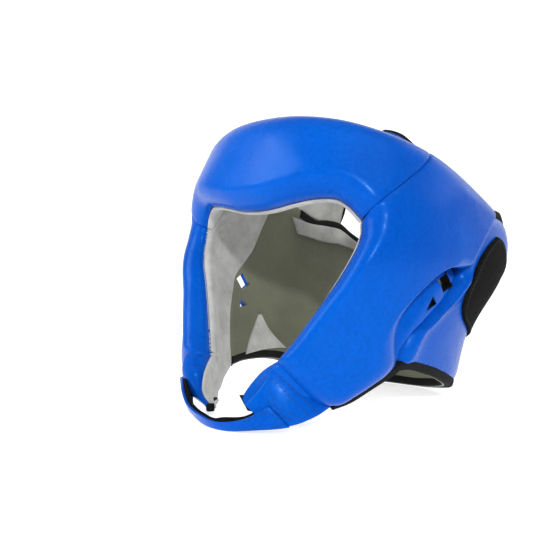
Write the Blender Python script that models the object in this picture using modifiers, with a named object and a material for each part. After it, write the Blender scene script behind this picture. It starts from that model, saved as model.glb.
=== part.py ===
"""Boxing headgear: padded forehead band, cheek pads, ear and rear panels, crown lobes and chin strap.

Metres, +Z up, the face looks to -Y. Every panel follows one head-shaped skin. A point of that
skin is given by its angle (degrees from the face, + to the wearer's left), its level and its
distance out. Levels are shares of LEVEL.
"""
import bpy
import math
from mathutils import Matrix, Vector

# Named sizes
HALF_WIDTH = 0.087      # skin, middle of the head to the side
FRONT_REACH = 0.105     # skin, middle of the head to the brow
REAR_REACH = 0.119      # skin, middle of the head to the back
LEVEL = 0.100           # brow line down to the cheek hem

PAD = 0.0205            # forehead and cheek pads
LINING = 0.0016         # suede and smooth linings
LAYER_GAP = 0.0016      # between the linings and what lies on them
SKIN_GAP = 0.0004       # between thin pieces that lie on each other
PANEL = 0.0035          # ear panels
REAR = 0.0155           # rear panels at their thickest
LOBE = 0.0045           # crown lobes
CHIN_FLAP = 0.0055      # thin ends of the cheek pads
WEBBING = 0.0022        # chin strap
TAPE = 0.0014           # hook tape and loop patch
EDGE_WIDTH = 0.055      # height of the textile edge, share of LEVEL
LOBE_EDGE = 0.030       # height of the textile edge of the lobes, share of LEVEL
LOBE_GAP = 0.004        # between a lobe and its textile edge, share of LEVEL
LINING_LIP = 0.040      # linings above the top of the pads, share of LEVEL
CHIN_TUCK = 0.035       # cheek pads stop this far above the end of their lining, share of LEVEL
TRIM_GAP = 0.0008       # between the linings and the textile edges
EDGE_GAP = 0.016        # between a panel and its textile edge, share of LEVEL
REAR_GAP = 0.0024       # between the rear lining and the rear panels
PATCH_GAP = 0.0014      # between a rear panel and the loop patch
FLAP_GAP = 0.0023       # between a rear panel and the closing flap, besides the patch
SEAM_GAP = 0.14         # half of the gap between neighbouring pads, degrees
LINING_SEAM_GAP = 0.30  # half of the gap between neighbouring linings, degrees
VENT = 0.0060           # half length of the diamond vent
CHEEK_HEM = 0.45        # thickness of the cheek edges, share of PAD
REAR_HEM_SHARE = 0.45   # thickness of the lower rear edge, share of REAR
REAR_TOP_SHARE = 0.60   # thickness of the upper rear edge, share of REAR
CHIN_TIP = 3.2          # width of the textile edge on a chin flap, degrees
CHIN_TIP_GAP = 0.4      # between a chin flap and its textile edge, degrees
CHIN_LIFT = 0.0075      # tip of the right chin flap, out from the skin
NECK_TURN = 1.5         # the lower front corner of a rear panel is drawn back by this, degrees
STEEPEST = 30.0         # most that the headgear may lean back, degrees
FLATTEST = 4.0          # least that it leans back, degrees
DEGREE = 0.017          # a degree of angle on the skin, about, as a share of LEVEL

# Thickness at the rims, as shares of the middle: front, rear, bottom, top
FOREHEAD_RIMS = (0.97, 0.97, 0.62, 0.66)
SIDE_RIMS = (0.76, 0.62, 0.62, 0.66)
SIDE_SEAM_RIM = 0.97    # front rim of the cheek pad along the seam to the forehead
REAR_RIMS = (0.60, 1.0, 0.70, 0.62)
# Width over which each panel rounds off to its rims, as a share of the panel
FOREHEAD_ROUND = 0.10
SIDE_ROUND = 0.09
REAR_ROUND = 0.12
# The cheek pad's front rim changes over to the seam's here: start and length, shares of its height
SEAM_START = 0.58
SEAM_LENGTH = 0.08
# Rear panel: thickness in the neck, and where it grows to full, shares of its height
NECK = 0.46
NECK_TOP = 0.30
NECK_RISE = 0.45
# Roll along the ear recess: middle and half width, shares of the panel, and how full it is
ROLL_MIDDLE = 0.10
ROLL_WIDTH = 0.09
ROLL_FULL = 0.85

# Skin by level: half width, front and rear reach as shares of the named sizes, and the
# superellipse exponents of its front and rear halves
PROFILE = (
    # level, side, front, rear, front squareness, rear squareness
    (1.00, 0.710, 0.715, 0.880, 2.4, 3.2),
    (0.85, 0.840, 0.865, 0.975, 2.4, 3.4),
    (0.60, 0.955, 0.975, 1.050, 2.4, 3.6),
    (0.35, 1.005, 1.010, 1.040, 2.6, 3.5),
    (0.10, 1.020, 1.000, 0.915, 3.1, 3.1),
    (-0.20, 1.005, 0.985, 0.840, 3.2, 2.8),
    (-0.50, 0.948, 0.950, 0.810, 2.7, 2.7),
    (-0.80, 0.888, 0.924, 0.830, 2.4, 2.7),
    (-1.00, 0.830, 0.905, 0.820, 2.4, 2.7),
    (-1.25, 0.710, 0.876, 0.780, 2.4, 2.7),
    (-1.50, 0.575, 0.838, 0.756, 2.4, 2.7),
)

# Outlines on the left half: angle in degrees, level
BROW = ((-44.5, 0.00), (-40, 0.07), (-36, 0.105), (-30, 0.10), (-20, 0.065), (-10, 0.03), (0, 0.02),
        (10, 0.03), (20, 0.065), (30, 0.10), (36, 0.105), (40, 0.07), (44.5, 0.00))
SEAM = ((44.5, 0.00), (48.0, 0.11), (53.5, 0.24), (60.0, 0.41), (66.0, 0.60))
BAND_TOP = ((-66, 0.60), (-47, 0.625), (-30, 0.65), (0, 0.665), (30, 0.645), (47, 0.62), (66, 0.60))
OPENING = ((24.5, -0.97), (30.0, -0.80), (34.5, -0.64), (38.5, -0.49), (42.0, -0.34),
           (44.6, -0.19), (45.4, -0.09), (45.0, 0.00), (48.0, 0.11), (53.5, 0.24), (60.0, 0.41),
           (66.0, 0.60))
SIDE_TOP = ((66.0, 0.60), (80.0, 0.58), (95.0, 0.56), (110.5, 0.53))
SIDE_REAR = ((72.0, -0.87), (67.2, -0.70), (65.2, -0.54), (66.6, -0.39), (70.2, -0.255),
             (76.2, -0.145), (84.0, -0.085), (92.0, -0.06), (95.0, 0.02), (98.5, 0.13),
             (104.0, 0.31), (110.5, 0.53))
SIDE_HEM = ((24.5, -0.97), (33.0, -1.06), (42.0, -1.14), (50.5, -1.17), (56.0, -1.10),
            (62.0, -1.00), (72.0, -0.87))
REAR_FRONT = ((72.0, -0.87), (72.8, -0.72), (74.5, -0.60), (79.0, -0.52), (84.0, -0.42), (89.0, -0.32),
              (92.3, -0.21), (94.6, -0.11), (95.6, 0.02), (98.5, 0.13), (104.0, 0.31), (110.5, 0.53))
REAR_HEM = ((72.0, -0.87), (80.0, -0.805), (90.0, -0.785), (104.0, -0.805), (118.0, -0.845),
            (140.0, -0.87), (160.0, -0.88), (180.0, -0.88))
REAR_TOP = ((110.5, 0.53), (117.0, 0.575), (123.5, 0.595), (130.0, 0.545), (143.0, 0.46),
            (160.0, 0.44), (180.0, 0.44))
EAR_FRONT = ((70.4, -0.77), (68.6, -0.68), (66.8, -0.54), (68.2, -0.40), (71.7, -0.275), (77.3, -0.170),
             (84.7, -0.112), (90.6, -0.09))
EAR_REAR = ((71.4, -0.77), (71.9, -0.70), (73.2, -0.60), (77.6, -0.53), (82.4, -0.43), (87.4, -0.33),
            (90.8, -0.22), (91.4, -0.11))
LINING_SEAM = SIDE_REAR[:4] + ((69.0, -0.255), (73.0, -0.14), (77.0, -0.02), (79.4, 0.12), (81.7, 0.31),
                               (84.5, 0.575))
LOBE_LOW_LEFT = ((48.0, 0.64), (58.0, 0.62), (68.0, 0.61), (79.0, 0.60), (88.0, 0.59))
LOBE_HIGH_LEFT = ((49.0, 0.735), (55.5, 0.75), (65.0, 0.708), (77.0, 0.665), (87.0, 0.648))
LOBE_LOW_RIGHT = ((50.0, 0.635), (66.0, 0.61), (80.0, 0.60), (95.0, 0.58), (110.5, 0.58), (123.0, 0.625),
                  (137.0, 0.545))
LOBE_HIGH_RIGHT = ((53.0, 0.75), (64.0, 0.80), (80.0, 0.84), (100.0, 0.85), (118.0, 0.83), (136.0, 0.77))
CHIN_HIGH = ((8.5, -1.18), (13.0, -1.11), (18.0, -1.03), (24.8, -0.95))
CHIN_LOW = ((9.5, -1.25), (19.0, -1.225), (30.0, -1.20), (43.0, -1.12))
CHIN_ROOT = ((43.0, -1.12), (33.5, -1.04), (24.8, -0.95))
# The right chin flap hangs lower than the left one
CHIN_HIGH_RIGHT = ((13.5, -1.28), (17.5, -1.17), (21.0, -1.06), (24.8, -0.95))
CHIN_LOW_RIGHT = ((10.0, -1.36), (24.0, -1.32), (36.0, -1.22), (43.0, -1.12))

# Outlines on the rear panels, as shares: from the middle of the back (0) to the ear recess
# (1 on the left panel, -1 on the right one), and from the hem (0) to the top (1)
PATCH_FRONT = ((0.75, 0.34), (0.83, 0.42), (0.855, 0.54), (0.85, 0.70), (0.81, 0.83))
PATCH_REAR = ((0.36, 0.34), (0.29, 0.44), (0.27, 0.58), (0.29, 0.71), (0.36, 0.83))
FLAP_FRONT = ((0.36, 0.42), (0.41, 0.50), (0.41, 0.66), (0.36, 0.74))
FLAP_REAR = ((-0.22, 0.26), (-0.22, 0.44), (-0.22, 0.66), (-0.22, 0.84))

# Sides of the head
LEFT = 1
RIGHT = -1

# Vents of the ear panels
VENTS = (
    # side, name, corners, angle, level, turn in degrees
    (LEFT, "diamond_left", 4, 86.5, -0.20, 0),
    (LEFT, "triangle_left", 3, 81.0, -0.37, 20),
    (RIGHT, "diamond_right", 4, 76.2, -0.29, 0),
    (RIGHT, "triangle_right", 3, 74.6, -0.46, 20),
)

# Colours of the model: red, green, blue, roughness
FINISHES = {
    "vinyl": (0.010, 0.105, 0.620, 0.30),
    "suede": (0.560, 0.560, 0.540, 0.95),
    "smooth_lining": (0.105, 0.110, 0.080, 0.55),
    "textile": (0.010, 0.010, 0.011, 0.85),
    "loops": (0.012, 0.012, 0.013, 1.00),
}

# Chin strap, from the seam on the left cheek to the outside of the right cheek: the upper and
# the lower edge of the strap, each as angle, level and distance out as a share of PAD
STRAP = (
    # angle, level, out (upper), angle, level, out (lower)
    (24.8, -0.955, 0.40, 49.6, -1.16, 0.40),
    (23.6, -1.02, 0.66, 44.0, -1.220, 0.70),
    (21.8, -1.11, 0.82, 37.0, -1.285, 0.88),
    (17.0, -1.21, 0.92, 26.0, -1.345, 1.00),
    (8.0, -1.27, 0.92, 12.0, -1.400, 1.00),
    (-3.0, -1.27, 0.92, -3.0, -1.395, 1.00),
    (-14.0, -1.21, 0.94, -15.0, -1.340, 1.00),
    (-23.0, -1.15, 0.98, -25.0, -1.300, 1.02),
    (-31.0, -1.11, 1.02, -34.0, -1.240, 1.05),
    (-40.0, -1.085, 1.04, -43.0, -1.190, 0.98),
    (-49.0, -1.07, 1.04, -52.0, -1.155, 0.90),
    (-55.0, -1.05, 1.04, -58.0, -1.120, 0.84),
)

STRAP_CELLS = 4
COLLECTION = "boxing_headgear"
CUTTERS = "cutters"


def smooth_row(table, key):
    """Row of a table at key, cubic between the rows; the first column is the key, falling."""
    last = len(table) - 1
    index = 0
    while index < last - 1 and key < table[index + 1][0]:
        index += 1
    low = table[index]
    high = table[index + 1]
    before = table[max(index - 1, 0)]
    after = table[min(index + 2, last)]
    span = high[0] - low[0]
    share = (key - low[0]) / span
    row = []
    for column in range(1, len(low)):
        start = (high[column] - before[column]) / (high[0] - before[0]) * span
        end = (after[column] - low[column]) / (after[0] - low[0]) * span
        row.append(hermite(low[column], high[column], start, end, share))
    return row


def hermite(low, high, start, end, share):
    """Cubic from low to high with the slopes start and end."""
    square = share * share
    cube = square * share
    return (low * (2 * cube - 3 * square + 1) + start * (cube - 2 * square + share)
            + high * (3 * square - 2 * cube) + end * (cube - square))


def along(points, share):
    """Point of a smooth line through points at a share of its length."""
    lengths = [0.0]
    for before, after in zip(points, points[1:]):
        step = math.hypot((after[0] - before[0]) * DEGREE, after[1] - before[1])
        lengths.append(lengths[-1] + step)
    target = share * lengths[-1]
    index = 0
    while index < len(points) - 2 and target > lengths[index + 1]:
        index += 1
    last = len(points) - 1
    lower = max(index - 1, 0)
    upper = min(index + 2, last)
    span = lengths[index + 1] - lengths[index]
    local = (target - lengths[index]) / span
    values = []
    for column in range(len(points[0])):
        low = points[index][column]
        high = points[index + 1][column]
        start = (high - points[lower][column]) / (lengths[index + 1] - lengths[lower]) * span
        end = (points[upper][column] - low) / (lengths[upper] - lengths[index]) * span
        values.append(hermite(low, high, start, end, local))
    return values


def skin_base(angle, level):
    """Point of the head-shaped skin."""
    side, front, rear, front_square, rear_square = smooth_row(PROFILE, level)
    sine = math.sin(math.radians(angle))
    cosine = math.cos(math.radians(angle))
    if cosine > 0:
        reach = front * FRONT_REACH
        exponent = front_square
    else:
        reach = rear * REAR_REACH
        exponent = rear_square
    scale = (abs(sine) ** exponent + abs(cosine) ** exponent) ** (-1 / exponent)
    return Vector((side * HALF_WIDTH * sine * scale, -reach * cosine * scale, level * LEVEL))


def skin(angle, level, out):
    """Point at a distance out from the skin, along its normal."""
    turn = skin_base(angle + 0.5, level) - skin_base(angle - 0.5, level)
    rise = skin_base(angle, level + 0.01) - skin_base(angle, level - 0.01)
    normal = turn.cross(rise).normalized()
    return skin_base(angle, level) + normal * out


def inside(edges, u, v):
    """Point of a four-sided outline: front and rear run upwards, bottom and top to the rear."""
    front, rear, bottom, top = edges
    on_front = along(front, v)
    on_rear = along(rear, v)
    on_bottom = along(bottom, u)
    on_top = along(top, u)
    corners = (front[0], rear[0], front[-1], rear[-1])
    weights = ((1 - u) * (1 - v), u * (1 - v), (1 - u) * v, u * v)
    values = []
    for axis in (0, 1):
        blend = sum(weight * corner[axis] for weight, corner in zip(weights, corners))
        values.append((1 - u) * on_front[axis] + u * on_rear[axis]
                      + (1 - v) * on_bottom[axis] + v * on_top[axis] - blend)
    return values


def spread(count, roll):
    """Shares from 0 to 1, with one more at the distance roll from each end."""
    inner = [roll + (1 - 2 * roll) * step / (count - 2) for step in range(count - 1)]
    return [0.0] + inner + [1.0]


def shift(points, angle, level):
    """A line moved by an angle and a level."""
    return tuple((point[0] + angle, point[1] + level) for point in points)


def mirrored(points):
    """A line on the other half of the head, run backwards."""
    return tuple((-point[0], point[1]) for point in reversed(points))


def crown_weight(u, v, rims, width):
    """Thickness share: full in the middle, falling to the rims (front, rear, bottom, top)."""
    weight = 1.0
    for distance, rim in zip((u, 1 - u, v, 1 - v), rims):
        share = min(distance / width, 1.0)
        weight = min(weight, rim + (1 - rim) * math.sqrt(max(0.0, 1 - (1 - share) ** 2)))
    return weight


def finish(name):
    """Material of a finish, made once."""
    found = bpy.data.materials.get(name)
    if found:
        return found
    red, green, blue, rough = FINISHES[name]
    made = bpy.data.materials.new(name)
    made.use_nodes = True
    surface = made.node_tree.nodes["Principled BSDF"]
    surface.inputs["Base Color"].default_value = (red, green, blue, 1)
    surface.inputs["Roughness"].default_value = rough
    surface.inputs["Metallic"].default_value = 0
    made.diffuse_color = (red, green, blue, 1)
    return made


def finish_mesh(name, points, faces, root, look):
    """Mesh object under the root, with smooth faces."""
    mesh = bpy.data.meshes.new(name)
    mesh.from_pydata(points, [], faces)
    mesh.polygons.foreach_set("use_smooth", [True] * len(mesh.polygons))
    mesh.update()
    piece = bpy.data.objects.new(name, mesh)
    mesh.materials.append(finish(look))
    bpy.data.collections[COLLECTION].objects.link(piece)
    piece.parent = root
    return piece


def thicken(piece, thick, weights, levels):
    """Solidify outwards, by vertex weight, then Subdivision Surface."""
    group = piece.vertex_groups.new(name="full")
    for index, weight in enumerate(weights):
        group.add([index], weight, "REPLACE")
    shell = piece.modifiers.new("thickness", "SOLIDIFY")
    shell.thickness = thick
    shell.offset = 1
    shell.use_quality_normals = True
    shell.vertex_group = "full"
    shell.thickness_vertex_group = 0
    if levels:
        round_off = piece.modifiers.new("round", "SUBSURF")
        round_off.levels = levels
        round_off.render_levels = levels


def grid_faces(wide, high, side):
    """Faces of a grid of points, facing out on either half of the head."""
    faces = []
    for row in range(high - 1):
        for column in range(wide - 1):
            corner = row * wide + column
            face = (corner, corner + 1, corner + 1 + wide, corner + wide)
            faces.append(face if side == LEFT else tuple(reversed(face)))
    return faces


def panel(name, look, edges, grid, inner, thick, root, side=LEFT, weight=None, levels=1, lift=0):
    """One panel of the headgear: a grid on the skin, solid outwards from inner to inner + thick.

    Its front edge is lifted off the skin by lift.
    """
    columns, rows = grid
    points = []
    weights = []
    for v in rows:
        for u in columns:
            angle, level = inside(edges, u, v)
            points.append(skin(side * angle, level, inner + lift * (1 - u)))
            weights.append(weight(u, v) if weight else 1.0)
    faces = grid_faces(len(columns), len(rows), side)
    piece = finish_mesh(name, points, faces, root, look)
    thicken(piece, thick, weights, levels)
    return piece


def edge_strip(name, line, drop, grid, inner, thick, root, side=LEFT):
    """Textile edge along a line: from the line to the line moved by drop levels."""
    lower = shift(line, 0, min(drop, 0))
    upper = shift(line, 0, max(drop, 0))
    edges = ((lower[0], upper[0]), (lower[-1], upper[-1]), lower, upper)
    return panel(name, "textile", edges, (grid, (0.0, 1.0)), inner, thick, root, side, None, 0)


def steps(count):
    """Even shares from 0 to 1."""
    return [index / count for index in range(count + 1)]


def forehead_weight(u, v):
    """Forehead pad: full at its seams, rounded over at the brow and the top."""
    return crown_weight(u, v, FOREHEAD_RIMS, FOREHEAD_ROUND)


def forehead(root):
    """The thick band over the brow and its suede lining."""
    seam = shift(SEAM, -SEAM_GAP, 0)
    left_out = tuple(reversed(mirrored(seam)))
    brow = (left_out[0],) + BROW[1:-1] + (seam[0],)
    top = (left_out[-1],) + BAND_TOP[1:-1] + (seam[-1],)
    edges = (left_out, seam, brow, top)
    left_lip = left_out[:-1] + shift(left_out[-1:], 0, LINING_LIP)
    lip = seam[:-1] + shift(seam[-1:], 0, LINING_LIP)
    lining_edges = (left_lip, lip, brow, shift(top, 0, LINING_LIP))
    inner = LINING + LAYER_GAP
    panel("forehead_pad", "vinyl", edges, (spread(13, 0.035), spread(5, 0.13)), inner, PAD, root,
          weight=forehead_weight)
    panel("forehead_lining", "suede", lining_edges, (steps(16), steps(4)), 0, LINING, root, levels=0)


def side_weight(u, v):
    """Cheek pad: full at the seam to the forehead, rolled over along the face opening."""
    at_seam = min(max((v - SEAM_START) / SEAM_LENGTH, 0.0), 1.0)
    front_rim = SIDE_RIMS[0] + (SIDE_SEAM_RIM - SIDE_RIMS[0]) * at_seam
    return crown_weight(u, v, (front_rim,) + SIDE_RIMS[1:], SIDE_ROUND)


def cheek(root, side, tag):
    """Cheek pad, its lining and the textile edge of its hem."""
    raised = EDGE_WIDTH + EDGE_GAP
    front = shift(OPENING, SEAM_GAP, 0)
    lip = front[:-1] + shift(front[-1:], 0, LINING_LIP)
    rear = shift(LINING_SEAM, -LINING_SEAM_GAP, 0)
    rear = rear[:-1] + shift(rear[-1:], 0, LINING_LIP)
    bottom = (front[0],) + SIDE_HEM[1:-1] + (rear[0],)
    top = (lip[-1],) + shift(SIDE_TOP[1:2], 0, LINING_LIP) + (rear[-1],)
    panel("cheek_lining_" + tag, "suede", (lip, rear, bottom, top), (steps(7), steps(11)), 0, LINING, root,
          side, levels=0)
    rear = shift(SIDE_REAR, -SEAM_GAP, 0)
    top = (front[-1],) + SIDE_TOP[1:-1] + (rear[-1],)
    hem = shift(SIDE_HEM[:2], 0, CHIN_TUCK) + shift(SIDE_HEM[2:], 0, raised)
    front = (hem[0],) + front[1:]
    rear = (rear[0][:1] + hem[-1][1:],) + rear[1:]
    bottom = (front[0],) + hem[1:-1] + (rear[0],)
    edges = (front, rear, bottom, top)
    inner = LINING + LAYER_GAP
    panel("side_pad_" + tag, "vinyl", edges, (spread(7, 0.06), spread(9, 0.06)), inner, PAD, root, side,
          weight=side_weight)
    edge_strip("cheek_hem_" + tag, SIDE_HEM[3:], EDGE_WIDTH, steps(8), LINING + TRIM_GAP,
               PAD * CHEEK_HEM, root, side)


def vent(pieces, row, root):
    """Cut a vent with straight corners through an ear panel and the lining behind it."""
    side, name, corners, angle, level, turn = row
    middle = skin(side * angle, level, 0)
    outward = (skin(side * angle, level, PANEL) - middle).normalized()
    bpy.ops.mesh.primitive_cylinder_add(vertices=corners, radius=VENT, depth=VENT * 4)
    cutter = bpy.context.object
    cutter.name = "vent_" + name
    for collection in list(cutter.users_collection):
        collection.objects.unlink(cutter)
    bpy.data.collections[CUTTERS].objects.link(cutter)
    cutter.hide_render = True
    cutter.display_type = "WIRE"
    cutter.rotation_mode = "QUATERNION"
    cutter.rotation_quaternion = (outward.to_track_quat("Z", "Y")
                                  @ Matrix.Rotation(math.radians(side * turn), 3, "Z").to_quaternion())
    cutter.location = middle
    cutter.parent = root
    for piece in pieces:
        cut = piece.modifiers.new(name, "BOOLEAN")
        cut.operation = "DIFFERENCE"
        cut.solver = "EXACT"
        cut.object = cutter


def ear(root, side, tag, lining):
    """Thin ear panel with its vents."""
    edges = (EAR_FRONT, EAR_REAR, (EAR_FRONT[0], EAR_REAR[0]), (EAR_FRONT[-1], EAR_REAR[-1]))
    inner = LINING + LAYER_GAP
    piece = panel("ear_panel_" + tag, "vinyl", edges, (steps(4), steps(10)), inner, PANEL, root,
                  side, levels=0)
    for row in VENTS:
        if row[0] == side:
            vent((piece, lining), row, root)


def rear_weight(u, v):
    """Rear panel: padded at the top, thin in the neck, a roll along the ear recess."""
    weight = crown_weight(u, v, REAR_RIMS, REAR_ROUND)
    upper = min(max((v - NECK_TOP) / NECK_RISE, 0.0), 1.0)
    body = NECK + (1 - NECK) * upper * upper * (3 - 2 * upper)
    roll = math.exp(-((u - ROLL_MIDDLE) / ROLL_WIDTH) ** 2) * (1 - body) * ROLL_FULL
    return weight * (body + roll)


def rear_edges():
    """Outline of the left rear panel."""
    raised = EDGE_WIDTH + EDGE_GAP
    hem = shift(REAR_HEM, 0, raised)
    top = shift(REAR_TOP, 0, -raised)
    front = shift(REAR_FRONT, SEAM_GAP, 0)
    front = ((hem[0][0] + NECK_TURN, hem[0][1]),) + front[1:-1] + ((front[-1][0], top[0][1]),)
    back = ((180 - SEAM_GAP, hem[-1][1]), (180 - SEAM_GAP, top[-1][1]))
    bottom = (front[0],) + hem[1:-1] + (back[0],)
    top = (front[-1],) + top[1:-1] + (back[-1],)
    return front, back, bottom, top


def rear(root, side, tag):
    """Rear panel from the ear recess to the middle of the back."""
    panel("rear_panel_" + tag, "vinyl", rear_edges(), (spread(11, 0.07), spread(6, 0.10)),
          LINING + REAR_GAP, REAR, root, side, weight=rear_weight)


def on_rear(across, up, lift):
    """Point over the rear panels: across runs from -1 on the right to 1 on the left."""
    side = LEFT if across >= 0 else RIGHT
    u = 1 - abs(across)
    angle, level = inside(rear_edges(), u, up)
    return skin(side * angle, level, LINING + REAR_GAP + REAR * rear_weight(u, up) + lift)


def rear_cover(name, look, front, back, grid, lift, thick, root):
    """Thin piece lying on the rear panels, between two lines of shares."""
    columns, rows = grid
    bottom = (front[0], back[0])
    top = (front[-1], back[-1])
    points = []
    for v in rows:
        for u in columns:
            across, up = inside((front, back, bottom, top), u, v)
            points.append(on_rear(across, up, lift))
    piece = finish_mesh(name, points, grid_faces(len(columns), len(rows), LEFT), root, look)
    thicken(piece, thick, [1.0] * len(points), 0)


def beyond(line):
    """A line of the left rear carried on past the middle of the back to the other side."""
    return line + tuple((360 - point[0], point[1]) for point in reversed(line))[1:]


def rear_lining(root):
    """Lining of the rear and the ear recesses, from the seam of one cheek lining to the other."""
    front = shift(LINING_SEAM, LINING_SEAM_GAP * 2, 0)
    rear_side = tuple((360 - point[0], point[1]) for point in front)
    bottom = (front[0],) + beyond(REAR_HEM)[1:-1] + (rear_side[0],)
    upper = (front[-1],) + beyond(SIDE_TOP[2:3] + REAR_TOP) + (rear_side[-1],)
    return panel("rear_lining", "smooth_lining", (front, rear_side, bottom, upper), (steps(28), steps(8)),
                 0, LINING, root, levels=0)


def rear_trim(root):
    """Textile edges, loop patch and closing flap of the rear."""
    hem = beyond(REAR_HEM)
    top = beyond(REAR_TOP)
    inner = LINING + TRIM_GAP
    edge_strip("rear_hem", hem, EDGE_WIDTH, steps(24), inner, REAR * REAR_HEM_SHARE, root)
    edge_strip("rear_top_binding", top, -EDGE_WIDTH, steps(24), inner, REAR * REAR_TOP_SHARE, root)
    rear_cover("loop_patch", "loops", PATCH_FRONT, PATCH_REAR, (steps(8), steps(6)),
               PATCH_GAP, TAPE, root)
    rear_cover("closure_flap", "vinyl", FLAP_FRONT, FLAP_REAR, (steps(10), steps(5)),
               TAPE + FLAP_GAP, WEBBING, root)


def crown_lobe(root, side, tag):
    """Lobe over the side of the open crown, with its textile edge."""
    low, top = (LOBE_LOW_LEFT, LOBE_HIGH_LEFT) if side == LEFT else (LOBE_LOW_RIGHT, LOBE_HIGH_RIGHT)
    high = shift(top, 0, -LOBE_EDGE - LOBE_GAP)
    edges = ((low[0], high[0]), (low[-1], high[-1]), low, high)
    start = LINING + SKIN_GAP
    panel("crown_flap_" + tag, "vinyl", edges, (steps(10), steps(3)), start, LOBE, root, side, levels=0)
    edge_strip("crown_binding_" + tag, top, -LOBE_EDGE, steps(10), start, LOBE, root, side)


def chin_flap(root, side, tag):
    """Thin end of the cheek pad, with a textile edge across its tip."""
    high, low, lift = (CHIN_HIGH, CHIN_LOW, 0)
    if side == RIGHT:
        high, low, lift = (CHIN_HIGH_RIGHT, CHIN_LOW_RIGHT, CHIN_LIFT)
    tip = (low[0], high[0])
    seam = shift(tip, CHIN_TIP, 0)
    front = shift(seam, CHIN_TIP_GAP, 0)
    inner = LINING + SKIN_GAP
    edges = (front, CHIN_ROOT, (front[0],) + low[1:], (front[1],) + high[1:])
    panel("chin_flap_" + tag, "vinyl", edges, (steps(6), steps(3)), inner, CHIN_FLAP, root, side,
          levels=0, lift=lift)
    edge = (tip, seam, (tip[0], seam[0]), (tip[1], seam[1]))
    panel("chin_flap_edge_" + tag, "textile", edge, ((0.0, 1.0), steps(3)), inner + lift, CHIN_FLAP,
          root, side, levels=0)


def strap_ribbon(name, look, root, inset, thick, start, margin, count):
    """Ribbon between the two edges of the strap table, moved in from it by inset."""
    points = []
    for index in range(count + 1):
        row = along(STRAP, start + (1 - start) * index / count)
        for cell in range(STRAP_CELLS + 1):
            cross = margin + (1 - 2 * margin) * cell / STRAP_CELLS
            angle, level, out = (low + (high - low) * cross for low, high in zip(row[3:], row[:3]))
            points.append(skin(angle, level, out * PAD - inset))
    piece = finish_mesh(name, points, grid_faces(STRAP_CELLS + 1, count + 1, LEFT), root, look)
    thicken(piece, thick, [1.0] * len(points), 0)


def chin_strap(root):
    """Strap across the front of the chin, with the hook tape on its inner side."""
    strap_ribbon("chin_strap", "vinyl", root, 0, WEBBING, 0.0, 0.0, 20)
    strap_ribbon("strap_tape", "loops", root, TAPE + SKIN_GAP, TAPE, 0.30, 0.06, 14)


def evaluated_points(root):
    """Points of every piece, as built, in the frame of the root."""
    graph = bpy.context.evaluated_depsgraph_get()
    points = []
    for piece in bpy.data.collections[COLLECTION].objects:
        if piece == root:
            continue
        mesh = piece.evaluated_get(graph).to_mesh()
        points.extend(vertex.co.copy() for vertex in mesh.vertices)
    return points


def lowest(points, recline):
    """Lowest height in front of and behind the middle of the head, reclined."""
    turn = Matrix.Rotation(-recline, 3, "X")
    turned = [turn @ point for point in points]
    front = min(point.z for point in turned if point.y < 0)
    rear_low = min(point.z for point in turned if point.y > 0)
    return front, rear_low, turned


def set_down(root):
    """Recline until the strap and the neck stand level, then put the box on the origin."""
    points = evaluated_points(root)
    low = math.radians(FLATTEST)
    high = math.radians(STEEPEST)
    for _ in range(40):
        middle = (low + high) / 2
        front, rear_low, turned = lowest(points, middle)
        if front < rear_low:
            low = middle
        else:
            high = middle
    front, rear_low, turned = lowest(points, low)
    xs = [point.x for point in turned]
    ys = [point.y for point in turned]
    root.rotation_euler = (-low, 0, 0)
    root.location = (-(min(xs) + max(xs)) / 2, -(min(ys) + max(ys)) / 2, -min(front, rear_low))


def build():
    """Clear the scene and build every piece."""
    for item in list(bpy.data.objects):
        bpy.data.objects.remove(item, do_unlink=True)
    for name in (COLLECTION, CUTTERS):
        collection = bpy.data.collections.new(name)
        bpy.context.scene.collection.children.link(collection)
    root = bpy.data.objects.new("headgear", None)
    bpy.data.collections[COLLECTION].objects.link(root)
    forehead(root)
    lining = rear_lining(root)
    for side, tag in ((LEFT, "left"), (RIGHT, "right")):
        cheek(root, side, tag)
        ear(root, side, tag, lining)
        rear(root, side, tag)
        crown_lobe(root, side, tag)
        chin_flap(root, side, tag)
    rear_trim(root)
    chin_strap(root)
    bpy.context.view_layer.update()
    set_down(root)


build()
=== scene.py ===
"""Looks of the boxing headgear: padded vinyl panels, suede, textile edges, stitches and loop pile.

Metres, +Z up, the face looks to -Y. As in the part's source, a point of the head-shaped skin is
given by its angle (degrees from the face, + to the wearer's left), its level (shares of LEVEL)
and its distance out.
"""
import bpy
import math
from mathutils import Matrix, Vector, geometry, kdtree, noise

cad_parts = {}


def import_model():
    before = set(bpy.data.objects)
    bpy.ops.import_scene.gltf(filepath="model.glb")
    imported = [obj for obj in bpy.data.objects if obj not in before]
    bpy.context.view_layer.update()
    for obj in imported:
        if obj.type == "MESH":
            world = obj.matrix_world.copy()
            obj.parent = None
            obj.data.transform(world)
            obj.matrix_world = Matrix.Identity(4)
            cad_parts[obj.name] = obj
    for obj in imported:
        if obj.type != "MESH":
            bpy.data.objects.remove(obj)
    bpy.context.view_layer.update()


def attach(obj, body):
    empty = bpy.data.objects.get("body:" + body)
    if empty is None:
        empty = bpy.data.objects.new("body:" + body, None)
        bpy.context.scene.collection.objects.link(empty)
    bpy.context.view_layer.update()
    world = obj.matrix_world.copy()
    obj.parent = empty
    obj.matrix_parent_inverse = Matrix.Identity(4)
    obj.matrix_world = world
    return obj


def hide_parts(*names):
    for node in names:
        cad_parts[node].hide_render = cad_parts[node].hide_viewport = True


# Named sizes, as in the part's source, in metres where nothing else is said
HALF_WIDTH = 0.087
FRONT_REACH = 0.105
REAR_REACH = 0.119
LEVEL = 0.100           # one level
PAD = 0.0205
LINING = 0.0016
LAYER_GAP = 0.0016
SKIN_GAP = 0.0004
PANEL = 0.0035
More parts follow.
